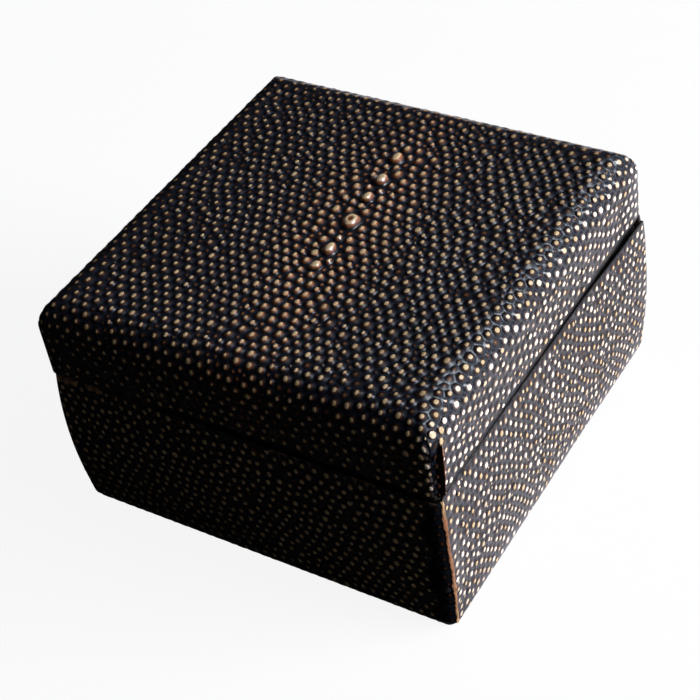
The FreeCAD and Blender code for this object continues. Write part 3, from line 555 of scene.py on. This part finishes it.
def relaxed(points, room, loop, held):
    """Moves the pearls, but not the first held ones, until each has about its own room."""
    for _ in range(3):
        count = len(points)
        rooms = join([room, np.full(len(loop), OUTLINE_ROOM)])
        triangles = triangulate(join([points, loop]), count)
        edges = join([triangles[:, pair] for pair in ([0, 1], [1, 2], [2, 0])])
        edges = np.unique(np.sort(edges, axis=1), axis=0)
        edges = edges[edges[:, 0] < count]
        want = rooms[edges].sum(1)
        free = (edges < count).all(1)
        for _ in range(12):
            every = join([points, loop])
            step = every[edges[:, 1]] - every[edges[:, 0]]
            length = np.maximum(np.linalg.norm(step, axis=1), 1e-6)
            goal = want * np.where(free, length[free].mean() / want[free].mean(), 1.0)
            pull = (0.16 * (length - goal) / length)[:, None] * step
            pull[~free & (length > goal)] *= 0.3
            move = np.zeros_like(every)
            np.add.at(move, edges[:, 0], pull)
            np.add.at(move, edges[:, 1], -pull)
            move = move[:count]
            move[:held] = 0.0
            size = np.maximum(np.linalg.norm(move, axis=1, keepdims=True), 1e-9)
            points = points + move * np.minimum(1.0, 0.25 / size)
        kept = inside(points, loop) & (nearest(points, loop) > 0.36)
        points, room = points[kept], room[kept]
    return points, room


def pearl_field(loop, pitch, seed, warp=2.4, lengths=(62.0, 44.0, 27.0), fillers=0.11,
                own=(), turn=0.0, swell=None):
    """Pearls in a flat hide: places, room round each, kind (0 small, 1 main, 2 large)."""
    rng = np.random.default_rng(seed + 1)
    half = 0.5 * pitch
    points = lattice(*np.abs(loop).max(0), pitch, seed, 0.1, warp, lengths, turn)
    points = points[inside(points, loop)]
    points = points[nearest(points, loop) > 0.62]
    own = np.array(own, float).reshape(-1, 3)
    for x, y, room in own:
        away = np.hypot(points[:, 0] - x, points[:, 1] - y)
        points = points[away > room + 0.3 * pitch]
    mains = join([own[:, :2], points])
    room = join([own[:, 2], half * rng.normal(1.0, 0.11, len(points))])
    if swell is not None:
        room[len(own):] *= swell(points)
    triangles = triangulate(join([mains, loop]), len(mains))
    triangles = triangles[(triangles < len(mains)).all(1)]
    weight = 0.5 * np.abs(turns(mains, triangles)) / (0.433 * pitch * pitch)
    middle = balance(mains, triangles, room)
    chosen = rng.random(len(middle)) < fillers * np.clip(weight, 0.2, 2.6) ** 1.6
    places = join([mains, middle[chosen]])
    room = join([room, half * rng.uniform(0.46, 0.64, chosen.sum())])
    places, room = relaxed(places, room, loop, len(own))
    kind = np.where(room > half * 0.8, 1, 0)
    kind[:len(own)][room[:len(own)] >= half * 1.42] = 2
    return places, room, kind


def pearl_levels(n, top, foot, dish):
    """A pearl's rings from the foot up (radius, height, masks of pearl and ridge), its peak."""
    if n == 12:
        rise = top.mean(1)
        return [
            (foot, -0.4, 0.0, 0.3), (foot * 0.55 + top * 0.45, 0.1, 0.36, 0.0),
            (top, 0.38, 0.56, 0.0), (top * 0.86, 0.38 + 0.09 * rise, 0.73, 0.0),
            (top * 0.66, 0.38 + 0.21 * rise, 0.95, 0.0),
            (top * 0.5, 0.39 + np.where(dish, 0.21, 0.26) * rise, 1.0, 0.0),
            (top * 0.27, 0.39 + np.where(dish, 0.15, 0.28) * rise, np.where(dish, 0.5, 1.0), 0.0),
        ], 0.4 + np.where(dish, 0.1, 0.29) * rise
    slope = [(foot, -0.41, 0.0, 0.35), (top + 0.42 * (foot - top), -0.24, 0.3, 0.0)]
    if n == 8:
        return slope + [(top, -0.06, 0.8, 0.0), (top * 0.66, -0.01, 1.0, 0.0)], 0.0
    low = [(radius, 0.4 * z - 0.33, *masks) for radius, z, *masks in slope]
    return low + [(top * 0.9, 0.4 * -0.06 - 0.33, 0.84, 0.0)], -0.335


def stitch(faces, outer, angles, inner, theta):
    """Joins a cell's outline to its pearl's foot ring, both walked round by angle."""
    size, n = len(outer), len(theta)
    turned = (theta - angles[0]) % FULL_TURN
    inner = inner + np.argsort(turned)
    next_inner = [*np.sort(turned), math.inf]
    next_outer = [*((angles[1:] - angles[0]) % FULL_TURN), FULL_TURN, math.inf]
    i = k = 0
    while i < size or k < n:
        last = inner[(k - 1) % n]
        if next_inner[k] <= next_outer[i]:
            faces.append((outer[i % size], inner[k], last))
            k += 1
        else:
            faces.append((outer[i % size], outer[(i + 1) % size], last))
            i += 1


def hide_piece(name, place, loop, field, look, stretch, grind, relief):
    """A closed hide: pearls as low domes in a network of ridges, walls and an underside."""
    places, radii, kind = field
    worn = radii * grind(places)
    count = len(places)
    points = join([places, loop])
    triangles = triangulate(points, count)
    dual = balance(points, triangles, join([radii, np.full(len(loop), 0.22)]))
    clockwise = turns(points, triangles) < 0
    triangles[clockwise] = triangles[clockwise][:, ::-1]
    owner = triangles.ravel()
    which = np.repeat(np.arange(len(triangles)), 3)
    offset = dual[which] - points[owner]
    angle = np.arctan2(offset[:, 1], offset[:, 0])
    order = np.lexsort((angle, owner))
    owner, which, angle = owner[order], which[order], angle[order]
    starts = np.searchsorted(owner, np.arange(len(points) + 1))
    flat, height, pearl, wear, faces = [], [], [], [], []

    def add(spots, z, mask, ridge, tone):
        """Adds points and says the number of the first."""
        first = sum(map(len, flat))
        flat.append(spots)
        z, *masks = (np.broadcast_to(value, len(spots)) for value in (z, mask, ridge, tone[:, 3]))
        height.append(z)
        pearl.append(np.stack(masks, -1))
        wear.append(tone[:, :3])
        return first

    # the low points between pearls come first, then the boundary, then each pearl's rings
    for spots, z, ridge in ((dual, -0.54, 1.0), (loop, -0.2, 0.0)):
        tone = look(spots, None)
        # The ground keeps no tone but the −1 that marks painted shade.
        tone[:, 3] = np.minimum(tone[:, 3], 0.0)
        first_loop = add(spots, z, 0.0, ridge, tone)

    # main pearls have 8 sides, small ones 6, large ones 12
    for n, chosen in ((8, kind == 1), (6, kind == 0), (12, kind == 2)):
        cells = np.nonzero(chosen)[0]
        if not len(cells):
            continue
        middle = places[cells]
        sizes = starts[cells + 1] - starts[cells]
        step = np.arange(sizes.max())
        ring = which[starts[cells][:, None] + step % sizes[:, None]]
        poly = dual[ring] - middle[:, None]
        following = poly[np.arange(len(cells))[:, None], (step + 1) % sizes[:, None]]
        edge = following - poly
        # how far each ray from the middle runs before it meets the cell's outline
        theta = (np.arange(n) + 0.5) * FULL_TURN / n
        direction = np.stack([np.cos(theta), np.sin(theta)], -1)
        ray = direction[None, :, None]
        slant = crossed(ray, edge[:, None])
        slant = np.where(np.abs(slant) < 1e-12, 1e-12, slant)
        distance = crossed(poly, edge)[:, None] / slant
        portion = crossed(poly[:, None], ray) / slant
        good = (distance > 0) & (portion > -1e-6) & (portion < 1 + 1e-6)
        reach = np.where(good, distance, np.inf).min(2)
        reach = np.where(np.isfinite(reach), reach, radii[cells][:, None])
        long = stretch(middle)
        radius = radii[cells] * (0.5 + 0.045 * radii[cells]) if n == 12 else worn[cells]
        a, b = (radius / np.sqrt(long))[:, None], (radius * np.sqrt(long))[:, None]
        top = a * b / np.sqrt((b * np.cos(theta)) ** 2 + (a * np.sin(theta)) ** 2)
        top = np.minimum(top, PEARL_ENDS * reach)

        tone = look(middle, cells)
        if n == 6:
            tone[:, 3] = np.where(tone[:, 3] > 1.0, 1.0, tone[:, 3] * 0.55)
        shade = tone[:, 3]
        # A tone below 0 cuts a pearl's pale top to 0.3, painted shade; small pearls of low tone are
        # dimmer.
        seen = np.where(shade < 0, 0.3, np.where((n == 6) & (shade < 1.0), 0.76, 1.0))
        lift = 0.2 * np.clip(tone[:, 1] - 0.35, 0.0, 0.6) * (n == 8)
        dish = radii[cells] > DISH_ROOM
        levels, peak = pearl_levels(n, top, FOOT_ENDS * reach, dish)
        firsts = []
        for radius, z, mask, ridge in levels:
            spot = middle[:, None] + radius[:, :, None] * direction[None]
            z = z + lift * np.clip((z + 0.25) / 0.21, 0.0, 1.0)
            firsts.append(add(spot.reshape(-1, 2), np.repeat(z, n),
                              np.repeat(mask * seen, n), ridge, np.repeat(tone, n, axis=0)))
        centre = add(middle, peak + lift, np.where(dish, 0.3, 1.0) * seen, 0.0, tone)

        for row, c in enumerate(cells):
            stitch(faces, ring[row, :sizes[row]], angle[starts[c]:starts[c + 1]],
                   firsts[0] + row * n, theta)
        rows = np.arange(len(cells))[:, None] * n
        here, beside = rows + np.arange(n), rows + (np.arange(n) + 1) % n
        for lower, upper in zip(firsts, firsts[1:]):
            quad = np.stack([lower + here, lower + beside, upper + beside, upper + here], -1)
            faces.extend(map(tuple, quad.reshape(-1, 4)))
        fan = np.stack([firsts[-1] + here, firsts[-1] + beside, centre + here // n], -1)
        faces.extend(map(tuple, fan.reshape(-1, 3)))

    # faces from the boundary to the nearest low points, one to the left of each edge
    sides = {}
    for number, (p, q, r) in enumerate(triangles):
        sides.update({(p, q): number, (q, r): number, (r, p): number})
    for (start, end), left in sides.items():
        if start >= count:
            right = sides.get((end, start), first_loop + end - count)
            faces.append((first_loop + start - count, right, left))

    # underside and walls
    grid = lattice(*np.abs(loop).max(0), 5.0, 5, 0.02, 0.0, (60.0, 44.0, 27.0))
    grid = grid[inside(grid, loop)]
    grid = grid[nearest(grid, loop) > 2.0]
    below = join([grid, loop])
    under = triangulate(below, len(grid))
    up = turns(below, under) > 0
    under[up] = under[up][:, ::-1]
    height = [join(height) * relief(join(flat))]
    first_grid = add(below, -HIDE, 0.0, 0.0, np.tile([0.04, 0.0, 0.0, 0.0], (len(below), 1)))
    faces.extend(map(tuple, under + first_grid))
    low = first_grid + len(grid)
    for i in range(len(loop)):
        j = (i + 1) % len(loop)
        faces.append((first_loop + j, first_loop + i, low + i, low + j))

    flat, height = join(flat), join(height)
    return build_mesh(name, raised(place, flat, height), faces,
                      {"pearl": join(pearl), "wear": join(wear)},
                      flat, first_grid)


def build_mesh(name, points, faces, colours, flat=None, first_under=0):
    """The mesh, which for a hide has its unfolded coordinates for the export's bake."""
    mesh = bpy.data.meshes.new(name)
    mesh.from_pydata((points * MM).tolist(), [], [tuple(int(i) for i in f) for f in faces])
    mesh.update()
    mesh.shade_smooth()
    for key, values in colours.items():
        layer = mesh.attributes.new(key, "FLOAT_COLOR", "POINT")
        rgba = np.ones((len(points), 4))
        rgba[:, :3] = values
        layer.data.foreach_set("color", rgba.ravel())
    if flat is not None:
        # the hide fills the map, and its underside goes small into the map's corner
        low, high = flat.min(0), flat.max(0)
        whole = 0.005 + (flat - low) * (0.93 / max(high - low))
        small = 0.945 + (flat - low) / max(high - low) * 0.05
        corner = np.zeros(len(mesh.loops), int)
        mesh.loops.foreach_get("vertex_index", corner)
        totals, first = np.zeros((2, len(mesh.polygons)), int)
        mesh.polygons.foreach_get("loop_total", totals)
        mesh.polygons.foreach_get("loop_start", first)
        hidden = np.maximum.reduceat(corner, first) >= first_under
        use = np.where(np.repeat(hidden, totals)[:, None], small[corner], whole[corner])
        layer = mesh.uv_layers.new(name="OFBake")
        layer.data.foreach_set("uv", use.ravel())
    return new_object(name, mesh)


SPINE = (  # u, v, room round each single pearl, along the spine and at the worn corner
    (2.0, 1.5, 3.3), (1.1, 10.3, 2.2), (0.8, 17.6, 2.45), (2.6, -8.6, 2.3), (2.75, -15.1, 2.3),
    (0.0, 25.9, 2.3), (2.4, -4.4, 1.25), (4.5, -12.2, 1.2), (2.6, 13.5, 1.25), (-0.7, 14.1, 1.25),
    (51.2, -45.0, 1.25), (53.0, -46.5, 1.5), (52.6, -48.6, 1.1),
)
NOISES = 20000  # more than there are pearls in any hide


def off_spine(flat):
    """How far points lie from the line of the spine."""
    line = np.interp(flat[:, 1], (-66, -40, -20, 0, 20, 66), (5.0, 4.6, 3.2, 1.8, 1.6, 2.4))
    return np.abs(flat[:, 0] - line)


def lid_look(flat, cells):
    """Wear (raw, warm, rubbed) and tone, the tone carrying painted light on the right side and
    painted shade towards the back, the left and the front right corner. Points that are no pearls
    come without cells.
    """
    noise = np.random.default_rng(71).random(NOISES)
    out = np.zeros((len(flat), 4))
    u, v = flat.T
    across = off_spine(flat)
    near = np.exp(-(across / 12.0) ** 2) * np.exp(-(np.abs(v + 2.0) / 34.0) ** 2)
    warm = np.clip(0.1 + near + 0.35 * np.exp(-(across / 5.0) ** 2), 0.0, 1.0)
    if cells is None:
        out[:, 1] = warm
        rubbed = np.where(u > np.abs(v), 0.12, 0.35)
        out[:, 2] = np.where(np.maximum(np.abs(u), np.abs(v)) > 61.5, rubbed, 0.0)
    else:
        pick = noise[cells % NOISES]
        # Pearl tops grow darker towards the back, the left and the front edge, away from the lamps:
        # painted shade, less of it near the right edge.
        far = np.maximum(0.6 * eased((v - 8.0) / 34.0), 0.4 * eased((-u - 20.0) / 22.0))
        far = np.maximum(far, 0.55 * eased((-v - 44.0) / 5.0)) * (1.0 - eased((u - 40.0) / 8.0))
        tone = np.clip(0.25 + 0.65 * pick, 0, 1) * (1.0 - far)
        # Pearls on the right side get a higher tone and turn whiter: painted light from the lamps
        # on that side.
        tone += (0.65 + 0.45 * pick) * eased((u - 46.0) / 6.0)
        single = np.where(u < 40.0, 1.0 - 0.1 * (v > 22.0), 0.93)
        out[:, 3] = np.where(cells < len(SPINE), single, tone)
        out[:, 1] = np.clip(warm + 0.1 * noise[(cells + 777) % NOISES], 0, 1)
    # Left of the front right seam the tone is −1, so pale tops and reflections go: painted shade.
    out[:, 3] = np.where((u > 51.5) & (v < -47.3), -1.0, out[:, 3])
    return out


def lid_loop():
    """The outline of the lid's flat hide, cut at the joint and at the corners."""
    drops = np.linspace(TURNED, 22.0, 16)
    cut = list(zip(TOP_HALF + seam_reach(drops) - 0.1, TOP_HALF + drops))
    corners = []
    for side in SIDES:
        along = np.linspace(-50.0, 50.0, 26)
        reach = TOP_HALF + (ROLL_RUN + (TOP_Z - ROLL) - (BASE_JOINT + gap(side, along) / 2))
        wing = [(-x, y) for x, y in cut]
        wing += zip(along * (TOP_HALF + 6.65) / 50.0, reach)
        corners += [to_side(side, x, y, 0.0)[:2] for x, y in wing + cut[::-1]]
    return outline(corners)


def base_loop(side, lean):
    """The outline of a base panel, from the joint to where it turns under the foot."""
    drops = np.linspace(0.0, BASE_RUN, 24)
    left, right = (seam_along(each, drops) - 0.12 for each in lean)
    corners = [(x, -BASE_RUN) for x in np.linspace(-left[-1], right[-1], 30)]
    corners += [(x, -s) for x, s in zip(right[-2:1:-1], drops[-2:1:-1])]
    for along in np.linspace(right[0], -left[0], 40):
        corners.append((along, -gap(side, np.clip(along, -50, 50)) / 2 * 1.006))
    corners += [(-x, -s) for x, s in zip(left[2:-1], drops[2:-1])]
    return outline(corners)


def base_look(side, seed):
    noise = np.random.default_rng(seed).random(NOISES)

    def look(flat, cells):
        out = np.zeros((len(flat), 4))
        along, s = flat[:, 0], -flat[:, 1]
        if cells is None:
            out[:, 1] = 0.12
            out[:, 2] = np.where(s < 1.6, {"right": 0.1}.get(side, 0.3), 0.0)
        else:
            pick = noise[cells % NOISES]
            out[:, 1] = 0.08 + 0.22 * noise[(cells + 501) % NOISES]
            # Pearls on the right panel get a higher tone and turn whiter: painted light from the
            # lamps on that side.
            out[:, 3] = 0.22 + 0.6 * pick + (0.55 + 0.25 * pick) * (side == "right")
        if side == "front":
            worn = ((along > 9) & (along < 19)) | ((along > 29) & (along < 35)) \
                | ((along > -49) & (along < -37))
            out[:, 0] = np.where(worn & (s < 2.4), 0.9 * eased((2.4 - s) / 1.2), 0.0)
            # On the front panel the pale tops are darker, and beside the front right edge the tone
            # is −1 so the pearls go dark: painted shade.
            out[:, 3] = np.where(along > 46.2, -1.0, 0.7 * out[:, 3])
        return out
    return look


def lid_stretch(flat):
    """How much longer than broad the pearls are."""
    return np.where(np.abs(flat).max(1) < 46, 1.75, 1.3)


def lid_swell(points):
    near = np.exp(-(off_spine(points) / 9.0) ** 2) * np.exp(-(points[:, 1] / 32.0) ** 2)
    outer = np.clip((np.abs(points).max(1) - 30.0) / 25.0, 0.0, 1.0)
    return 1.0 + 0.22 * near - 0.12 * outer


def lid_relief(flat):
    """The hide is rubbed smoother where it turns over the edges."""
    far = np.maximum(-flat[:, 0], flat[:, 1])
    return 1.0 - 0.7 * eased((far - 40.0) / 6.0) * (1.0 - eased((far - 52.0) / 5.0))


def base_relief(flat):
    ends = eased((np.abs(flat[:, 0]) - 42.0) / 6.0)
    foot = eased((-flat[:, 1] - 33.0) / 6.0)
    return 1.0 - np.maximum(0.6 * ends, 0.88 * foot)


def lid_grind(places):
    """How much of each pearl's room is worn to its pale top."""
    u, v = places.T
    noise = np.random.default_rng(13).normal(0.0, 0.035, len(places))
    corner = np.hypot(u - 52.2, v + 46.6) < 2.4
    left = 0.045 * eased((-u - 8.0) / 26.0)
    return 0.35 + noise + 0.25 * corner + 0.06 * eased((u - 44.0) / 5.0) - left


def base_grind(places):
    return 0.38 + np.random.default_rng(14).normal(0.0, 0.035, len(places))


hide_material = ray_skin_material()
loop = lid_loop()
field = pearl_field(loop, 2.86, 31, own=SPINE, swell=lid_swell)
lid_hide = hide_piece("lid_hide", lid_place, loop, field, lid_look, lid_stretch, lid_grind,
                      lid_relief)
lid_hide.data.materials.append(hide_material)
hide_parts("lid_skin")
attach(lid_hide, "lid")

# Beside the front right edge the front panel's pale tops shrink to dots: painted shade.
grind_with_shade = {"front": lambda places: base_grind(places) - 0.24 * eased((places[:, 0] - 44) / 3)}
leans = {"front": (0.0, 0.45), "right": (-0.45, 0.0)}
for number, side in enumerate(SIDES):
    loop = base_loop(side, leans.get(side, (0.0, 0.0)))
    field = pearl_field(loop, 2.72, 100 + number, warp=2.0, lengths=(48.0, 35.0, 24.0),
                        fillers=0.13, turn=0.2 * number)
    piece = hide_piece("base_hide_" + side, base_place(side), loop, field,
                       base_look(side, 300 + number), lambda flat: np.full(len(flat), 1.32),
                       grind_with_shade.get(side, base_grind), base_relief)
    piece.data.materials.append(hide_material)
    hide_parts("base_skin_" + side)
    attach(piece, "base")


# ---- seams
def smooth_noise(rng, count, width):
    raw = rng.normal(0.0, 1.0, count + 4 * width)
    kernel = np.hanning(2 * width + 3)
    out = np.convolve(raw, kernel / np.sqrt((kernel ** 2).sum()), "same")
    return np.clip(out[2 * width:2 * width + count], -1.6, 1.6)


def seam_strip(name, place, line, widths, seed, tones, owner):
    """A ragged strip of worn hide edge over a seam: a low closed ridge along a flat line."""
    rng = np.random.default_rng(seed)
    line = np.asarray(line, float)
    run = join([[0.0], np.cumsum(np.linalg.norm(np.diff(line, axis=0), axis=1))])
    count = max(2, int(run[-1] / 0.28))
    at = np.linspace(0.0, run[-1], count)
    line = np.stack([np.interp(at, run, line[:, 0]), np.interp(at, run, line[:, 1])], -1)
    part = np.linspace(0.0, 1.0, count)
    step = np.gradient(line, axis=0)
    step /= np.linalg.norm(step, axis=1, keepdims=True)
    across = np.stack([-step[:, 1], step[:, 0]], -1)
    ragged = [smooth_noise(rng, count, 3) * 0.12 + smooth_noise(rng, count, 9) * 0.1
              for _ in range(2)]
    left, right = (np.maximum(np.interp(part, *width) + rag, 0.12)
                   for width, rag in zip(widths, ragged))
    offsets = np.array([-1.0, -0.84, -0.62, -0.42, -0.24, -0.1, 0.0, 0.35, 0.78, 1.0])
    rises = np.array([-0.34, 0.06, 0.1, 0.13, 0.14, 0.14, 0.14, 0.1, 0.03, -0.34])
    flat, height, wear = [], [], []
    for offset, rise in zip(offsets, rises):
        reach = np.where(offset < 0, left, right) * offset
        flat.append(line + across * reach[:, None])
        height.append(rise + smooth_noise(rng, count, 2) * 0.05 * (abs(rise) < 0.2))
        raw, light = tones(part, offset)
        wear.append(np.stack([raw + 0 * part, light + 0 * part, 0 * part], -1))
    flat.append(line)
    height.append(np.full(count, -0.55))
    wear.append(np.zeros((count, 3)))
    flat, height, wear = join(flat), join(height), join(wear)
    ring = list(range(len(offsets) + 1))
    faces = []
    for k in ring:
        a, b = k * count, (k + 1) % len(ring) * count
        faces += [(a + i, b + i, b + i + 1, a + i + 1) for i in range(count - 1)]
    faces.append(tuple(k * count for k in reversed(ring)))
    faces.append(tuple(k * count + count - 1 for k in ring))
    thing = build_mesh(name, raised(place, flat, height), faces, {"wear": wear})
    thing.data.materials.append(edge_look)
    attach(thing, owner)


def lid_tones(part, offset):
    """Near black and bare of pearls to the left, painted shade; a red-brown worn ridge to the
    right.
    """
    raw = np.interp(offset, (-1.0, -0.24, 0.0, 0.35), (0.0, 0.0, 0.03, 0.9))
    light = np.interp(part, (0.0, 0.12, 0.3, 0.9, 1.0), (0.8, 0.25, 0.0, 0.05, 0.4))
    return raw, np.where(offset > -0.1, light, 0.0)


def base_tones(part, offset):
    """Raw brown leather, palest at both ends."""
    return 0.92, np.interp(part, (0.0, 0.05, 0.12, 0.75, 1.0), (1.0, 0.5, 0.12, 0.3, 0.85))


edge_look = seam_material()
lid_seam = ((53.6, -46.9), (56.0, -46.7), (60.3, -46.8), (64.4, -47.2), (66.7, -47.6))
seam_strip("lid_seam_front_right", lid_place, lid_seam,
           (((0.0, 0.15, 0.4, 1.0), (0.9, 1.9, 2.3, 2.1)), ((0.0, 0.3, 1.0), (0.6, 0.62, 0.58))),
           401, lid_tones, "lid")

drops = np.linspace(0.8, 43.2, 40)
seam_strip("base_seam_front_right", base_place("right"),
           np.stack([-seam_along(-0.45, drops), -drops], -1),
           (((0.0, 0.2, 0.6, 1.0), (0.4, 0.5, 0.6, 0.3)),
            ((0.0, 0.2, 0.6, 1.0), (0.3, 0.42, 0.5, 0.25))), 402, base_tones, "base")


# ---- brush hair
def make_tuft():
    """Tapered hairs bound at the collar, full at the belly and drawn to a point."""
    low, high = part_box("brush_tuft")
    x0, z0 = (low.x + high.x) / 2 / MM, (low.z + high.z) / 2 / MM
    back, tip = high.y / MM, low.y / MM
    length = back - tip
    rng = np.random.default_rng(9)
    points, faces, wear = [], [], []
    stations = np.array([0.0, 0.16, 0.34, 0.55, 0.78, 1.0])
    spread = np.array([0.8, 0.98, 0.98, 0.76, 0.42, 0.04])
    hairs, inner_hairs, golden_turn = 420, 300, 2.39996
    for number in range(hairs):
        turn = number * golden_turn
        ring = math.sqrt((number + 0.5) / hairs) if number < inner_hairs \
            else rng.uniform(0.9, 1.0)
        end = rng.uniform(0.9, 1.0) if ring < 0.8 else rng.uniform(0.82, 0.985)
        thick = rng.uniform(0.14, 0.19)
        sway = rng.normal(0, 0.045, 2)
        shade = rng.random()
        first = len(points)
        for part in stations:
            t = part * end
            radius = ring * 3.0 * np.interp(t, stations, spread)
            cx = x0 + radius * math.cos(turn) + sway[0] * t * 3
            cz = z0 + radius * math.sin(turn) + sway[1] * t * 3
            size = thick * (1.0 - 0.86 * part ** 1.7)
            for corner in range(3):
                a = turn + corner * 2 * math.pi / 3
                points.append((cx + size * math.cos(a), back - t * length,
                               cz + size * math.sin(a)))
                wear.append((t, shade, 0.0))
        last = first + 3 * (len(stations) - 1)
        for start in range(first, last, 3):
            for corner in range(3):
                a, b = start + corner, start + (corner + 1) % 3
                faces.append((a, a + 3, b + 3, b))
        faces += [(first, first + 1, first + 2), (last + 2, last + 1, last)]
    piece = build_mesh("brush_hair", np.array(points), faces, {"wear": np.array(wear)})
    piece.data.materials.append(hair_material())
    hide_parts("brush_tuft")
    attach(piece, "brush")


make_tuft()

# ---- carried-over nodes
rim = rim_material()
black = lacquer_material("lacquer_black", (0.0035, 0.003, 0.003), (0.011, 0.009, 0.008))
dusted = lacquer_material("lacquer_nashiji", (0.004, 0.003, 0.003), (0.012, 0.009, 0.008),
                          flecks=1.0)
red = lacquer_material("lacquer_tray", (0.105, 0.02, 0.012), (0.185, 0.042, 0.022), grain=0.4)
finish = {
    "tray_": red, "fitted_board": red, "brush_rest": red, "inkstone": slate_material(),
    "dropper_": bronze_material(), "ink_stick": ink_material(),
    "brush_handle": bamboo_material(), "brush_collar": horn_material(),
    "base_wall": rim, "lid_wall": rim, "base_floor": dusted, "base_liner": dusted,
    "lid_top_board": dusted,
}
for name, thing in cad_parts.items():
    if name in ("lid_skin", "brush_tuft") or name.startswith("base_skin"):
        continue
    chosen = black
    for start, material in finish.items():
        if name.startswith(start):
            chosen = material
    if not thing.material_slots:
        thing.data.materials.append(chosen)
    for slot in thing.material_slots:
        slot.material = chosen


# ---- camera, floor, light
right = Vector((0.85506, 0.50313, -0.12541)).normalized()
back = Vector((0.45154, -0.60359, 0.65711)).normalized()
up = back.cross(right).normalized()
right = up.cross(back).normalized()
turn = Matrix((right, up, back)).transposed().to_4x4()
camera_data = bpy.data.cameras.new("camera")
camera_data.lens = 89.87
camera_data.shift_x = -0.01044
camera_data.shift_y = -0.03244
camera_data.clip_start = 0.01
camera = new_object("camera", camera_data)
camera.matrix_world = Matrix.Translation(Vector((185.0048, -247.3011, 300.232)) * MM) @ turn
scene.camera = camera


def floor_material():
    """White to the camera, pale and shadowed to the lamps, bright in mirrors towards the window."""
    m = Shader("floor_pale")
    here = m.place()
    cloud = m.noise(here, 3.0, 2.0)
    path = m.node("ShaderNodeLightPath").outputs
    dim = m.mix(cloud, (0.13, 0.122, 0.108), (0.15, 0.141, 0.126))
    # In mirrors the floor is painted bright on the window side and near black elsewhere: a painted
    # reflection of the lit floor and a painted shadow beside the box.
    side = m.math("MULTIPLY", m.dot(here, (0.75, 0.66, 0.0)), 8.0)
    lit = m.ramp(m.math("ADD", side, 0.5), (0.5, 0.0), (0.66, 1.0))
    mirror = m.math("ADD", path["Is Glossy Ray"], path["Is Transmission Ray"], clamp=True)
    level = m.mix(mirror, (1.0, 1.0, 1.0), m.mix(lit, (0.004, 0.004, 0.004), (0.92, 0.88, 0.95)))
    seen = m.math("MULTIPLY", path["Is Camera Ray"], 0.9)
    share = m.math("ADD", m.math("MULTIPLY", mirror, 0.96), seen, clamp=True)
    white = m.glow("ShaderNodeEmission", level)
    m.link(m.blend(share, m.bsdf.outputs["BSDF"], white), m.out.inputs["Surface"])
    return m.done(m.mix(path["Is Camera Ray"], dim, (0.92, 0.92, 0.92)), 0.9)


floor_mesh = bpy.data.meshes.new("floor")
corners = [(x, y, -0.0002) for x, y in ((-4.0, -4.0), (4.0, -4.0), (4.0, 4.0), (-4.0, 4.0))]
floor_mesh.from_pydata(corners, [], [(0, 1, 2, 3)])
floor = new_object("floor", floor_mesh)
floor_mesh.materials.append(floor_material())

scene.world = world = bpy.data.worlds.new("world")
world.use_nodes = True
w = Nodes(world.node_tree)
sky = w.node("ShaderNodeTexCoord").outputs["Generated"]
side_light = w.ramp(w.dot(sky, (0.68, 0.64, 0.36)), (0.3, (0.006, 0.007, 0.01)),
                    (0.62, (0.04, 0.047, 0.062)), (0.95, (0.3, 0.36, 0.46)))
high_light = w.ramp(w.dot(sky, (0.43, 0.34, 0.83)), (0.8, 0.0), (0.97, (0.3, 0.38, 0.52)))
lighting = w.glow("ShaderNodeBackground", w.mix(1.0, side_light, high_light, "ADD"))
white = w.glow("ShaderNodeBackground", (1.0, 1.0, 1.0))
camera_ray = w.node("ShaderNodeLightPath").outputs["Is Camera Ray"]
w.link(w.blend(camera_ray, lighting, white),
       w.node("ShaderNodeOutputWorld").inputs["Surface"])


def area_light(name, place, size, power, colour, **sight):
    """A lamp turned to the box's middle; sight says what doesn't see it."""
    data = bpy.data.lights.new(name, "AREA")
    data.shape = "RECTANGLE"
    data.size, data.size_y = size
    data.energy = power
    data.color = colour
    lamp = new_object(name, data)
    lamp.location = place
    aim = Vector((0.0, 0.0, 0.03)) - Vector(place)
    lamp.rotation_euler = aim.to_track_quat("-Z", "Y").to_euler()
    for key, value in sight.items():
        setattr(lamp, key, value)


area_light("key", (1.0, 0.33, 0.4), (0.8, 0.7), 21.0, (1.0, 0.985, 0.96),
           visible_glossy=False)
area_light("glance", (1.0, 0.33, 0.4), (0.8, 0.7), 14.0, (0.91, 0.93, 1.12))
area_light("window", (0.322, 0.255, 0.622), (0.3, 0.26), 2.6, (0.9, 0.95, 1.0),
           visible_diffuse=False)
area_light("fill", (-0.8, 0.55, 0.4), (0.6, 0.6), 0.5, (0.9, 0.94, 1.0),
           visible_glossy=False)

scene.view_settings.view_transform = "Standard"
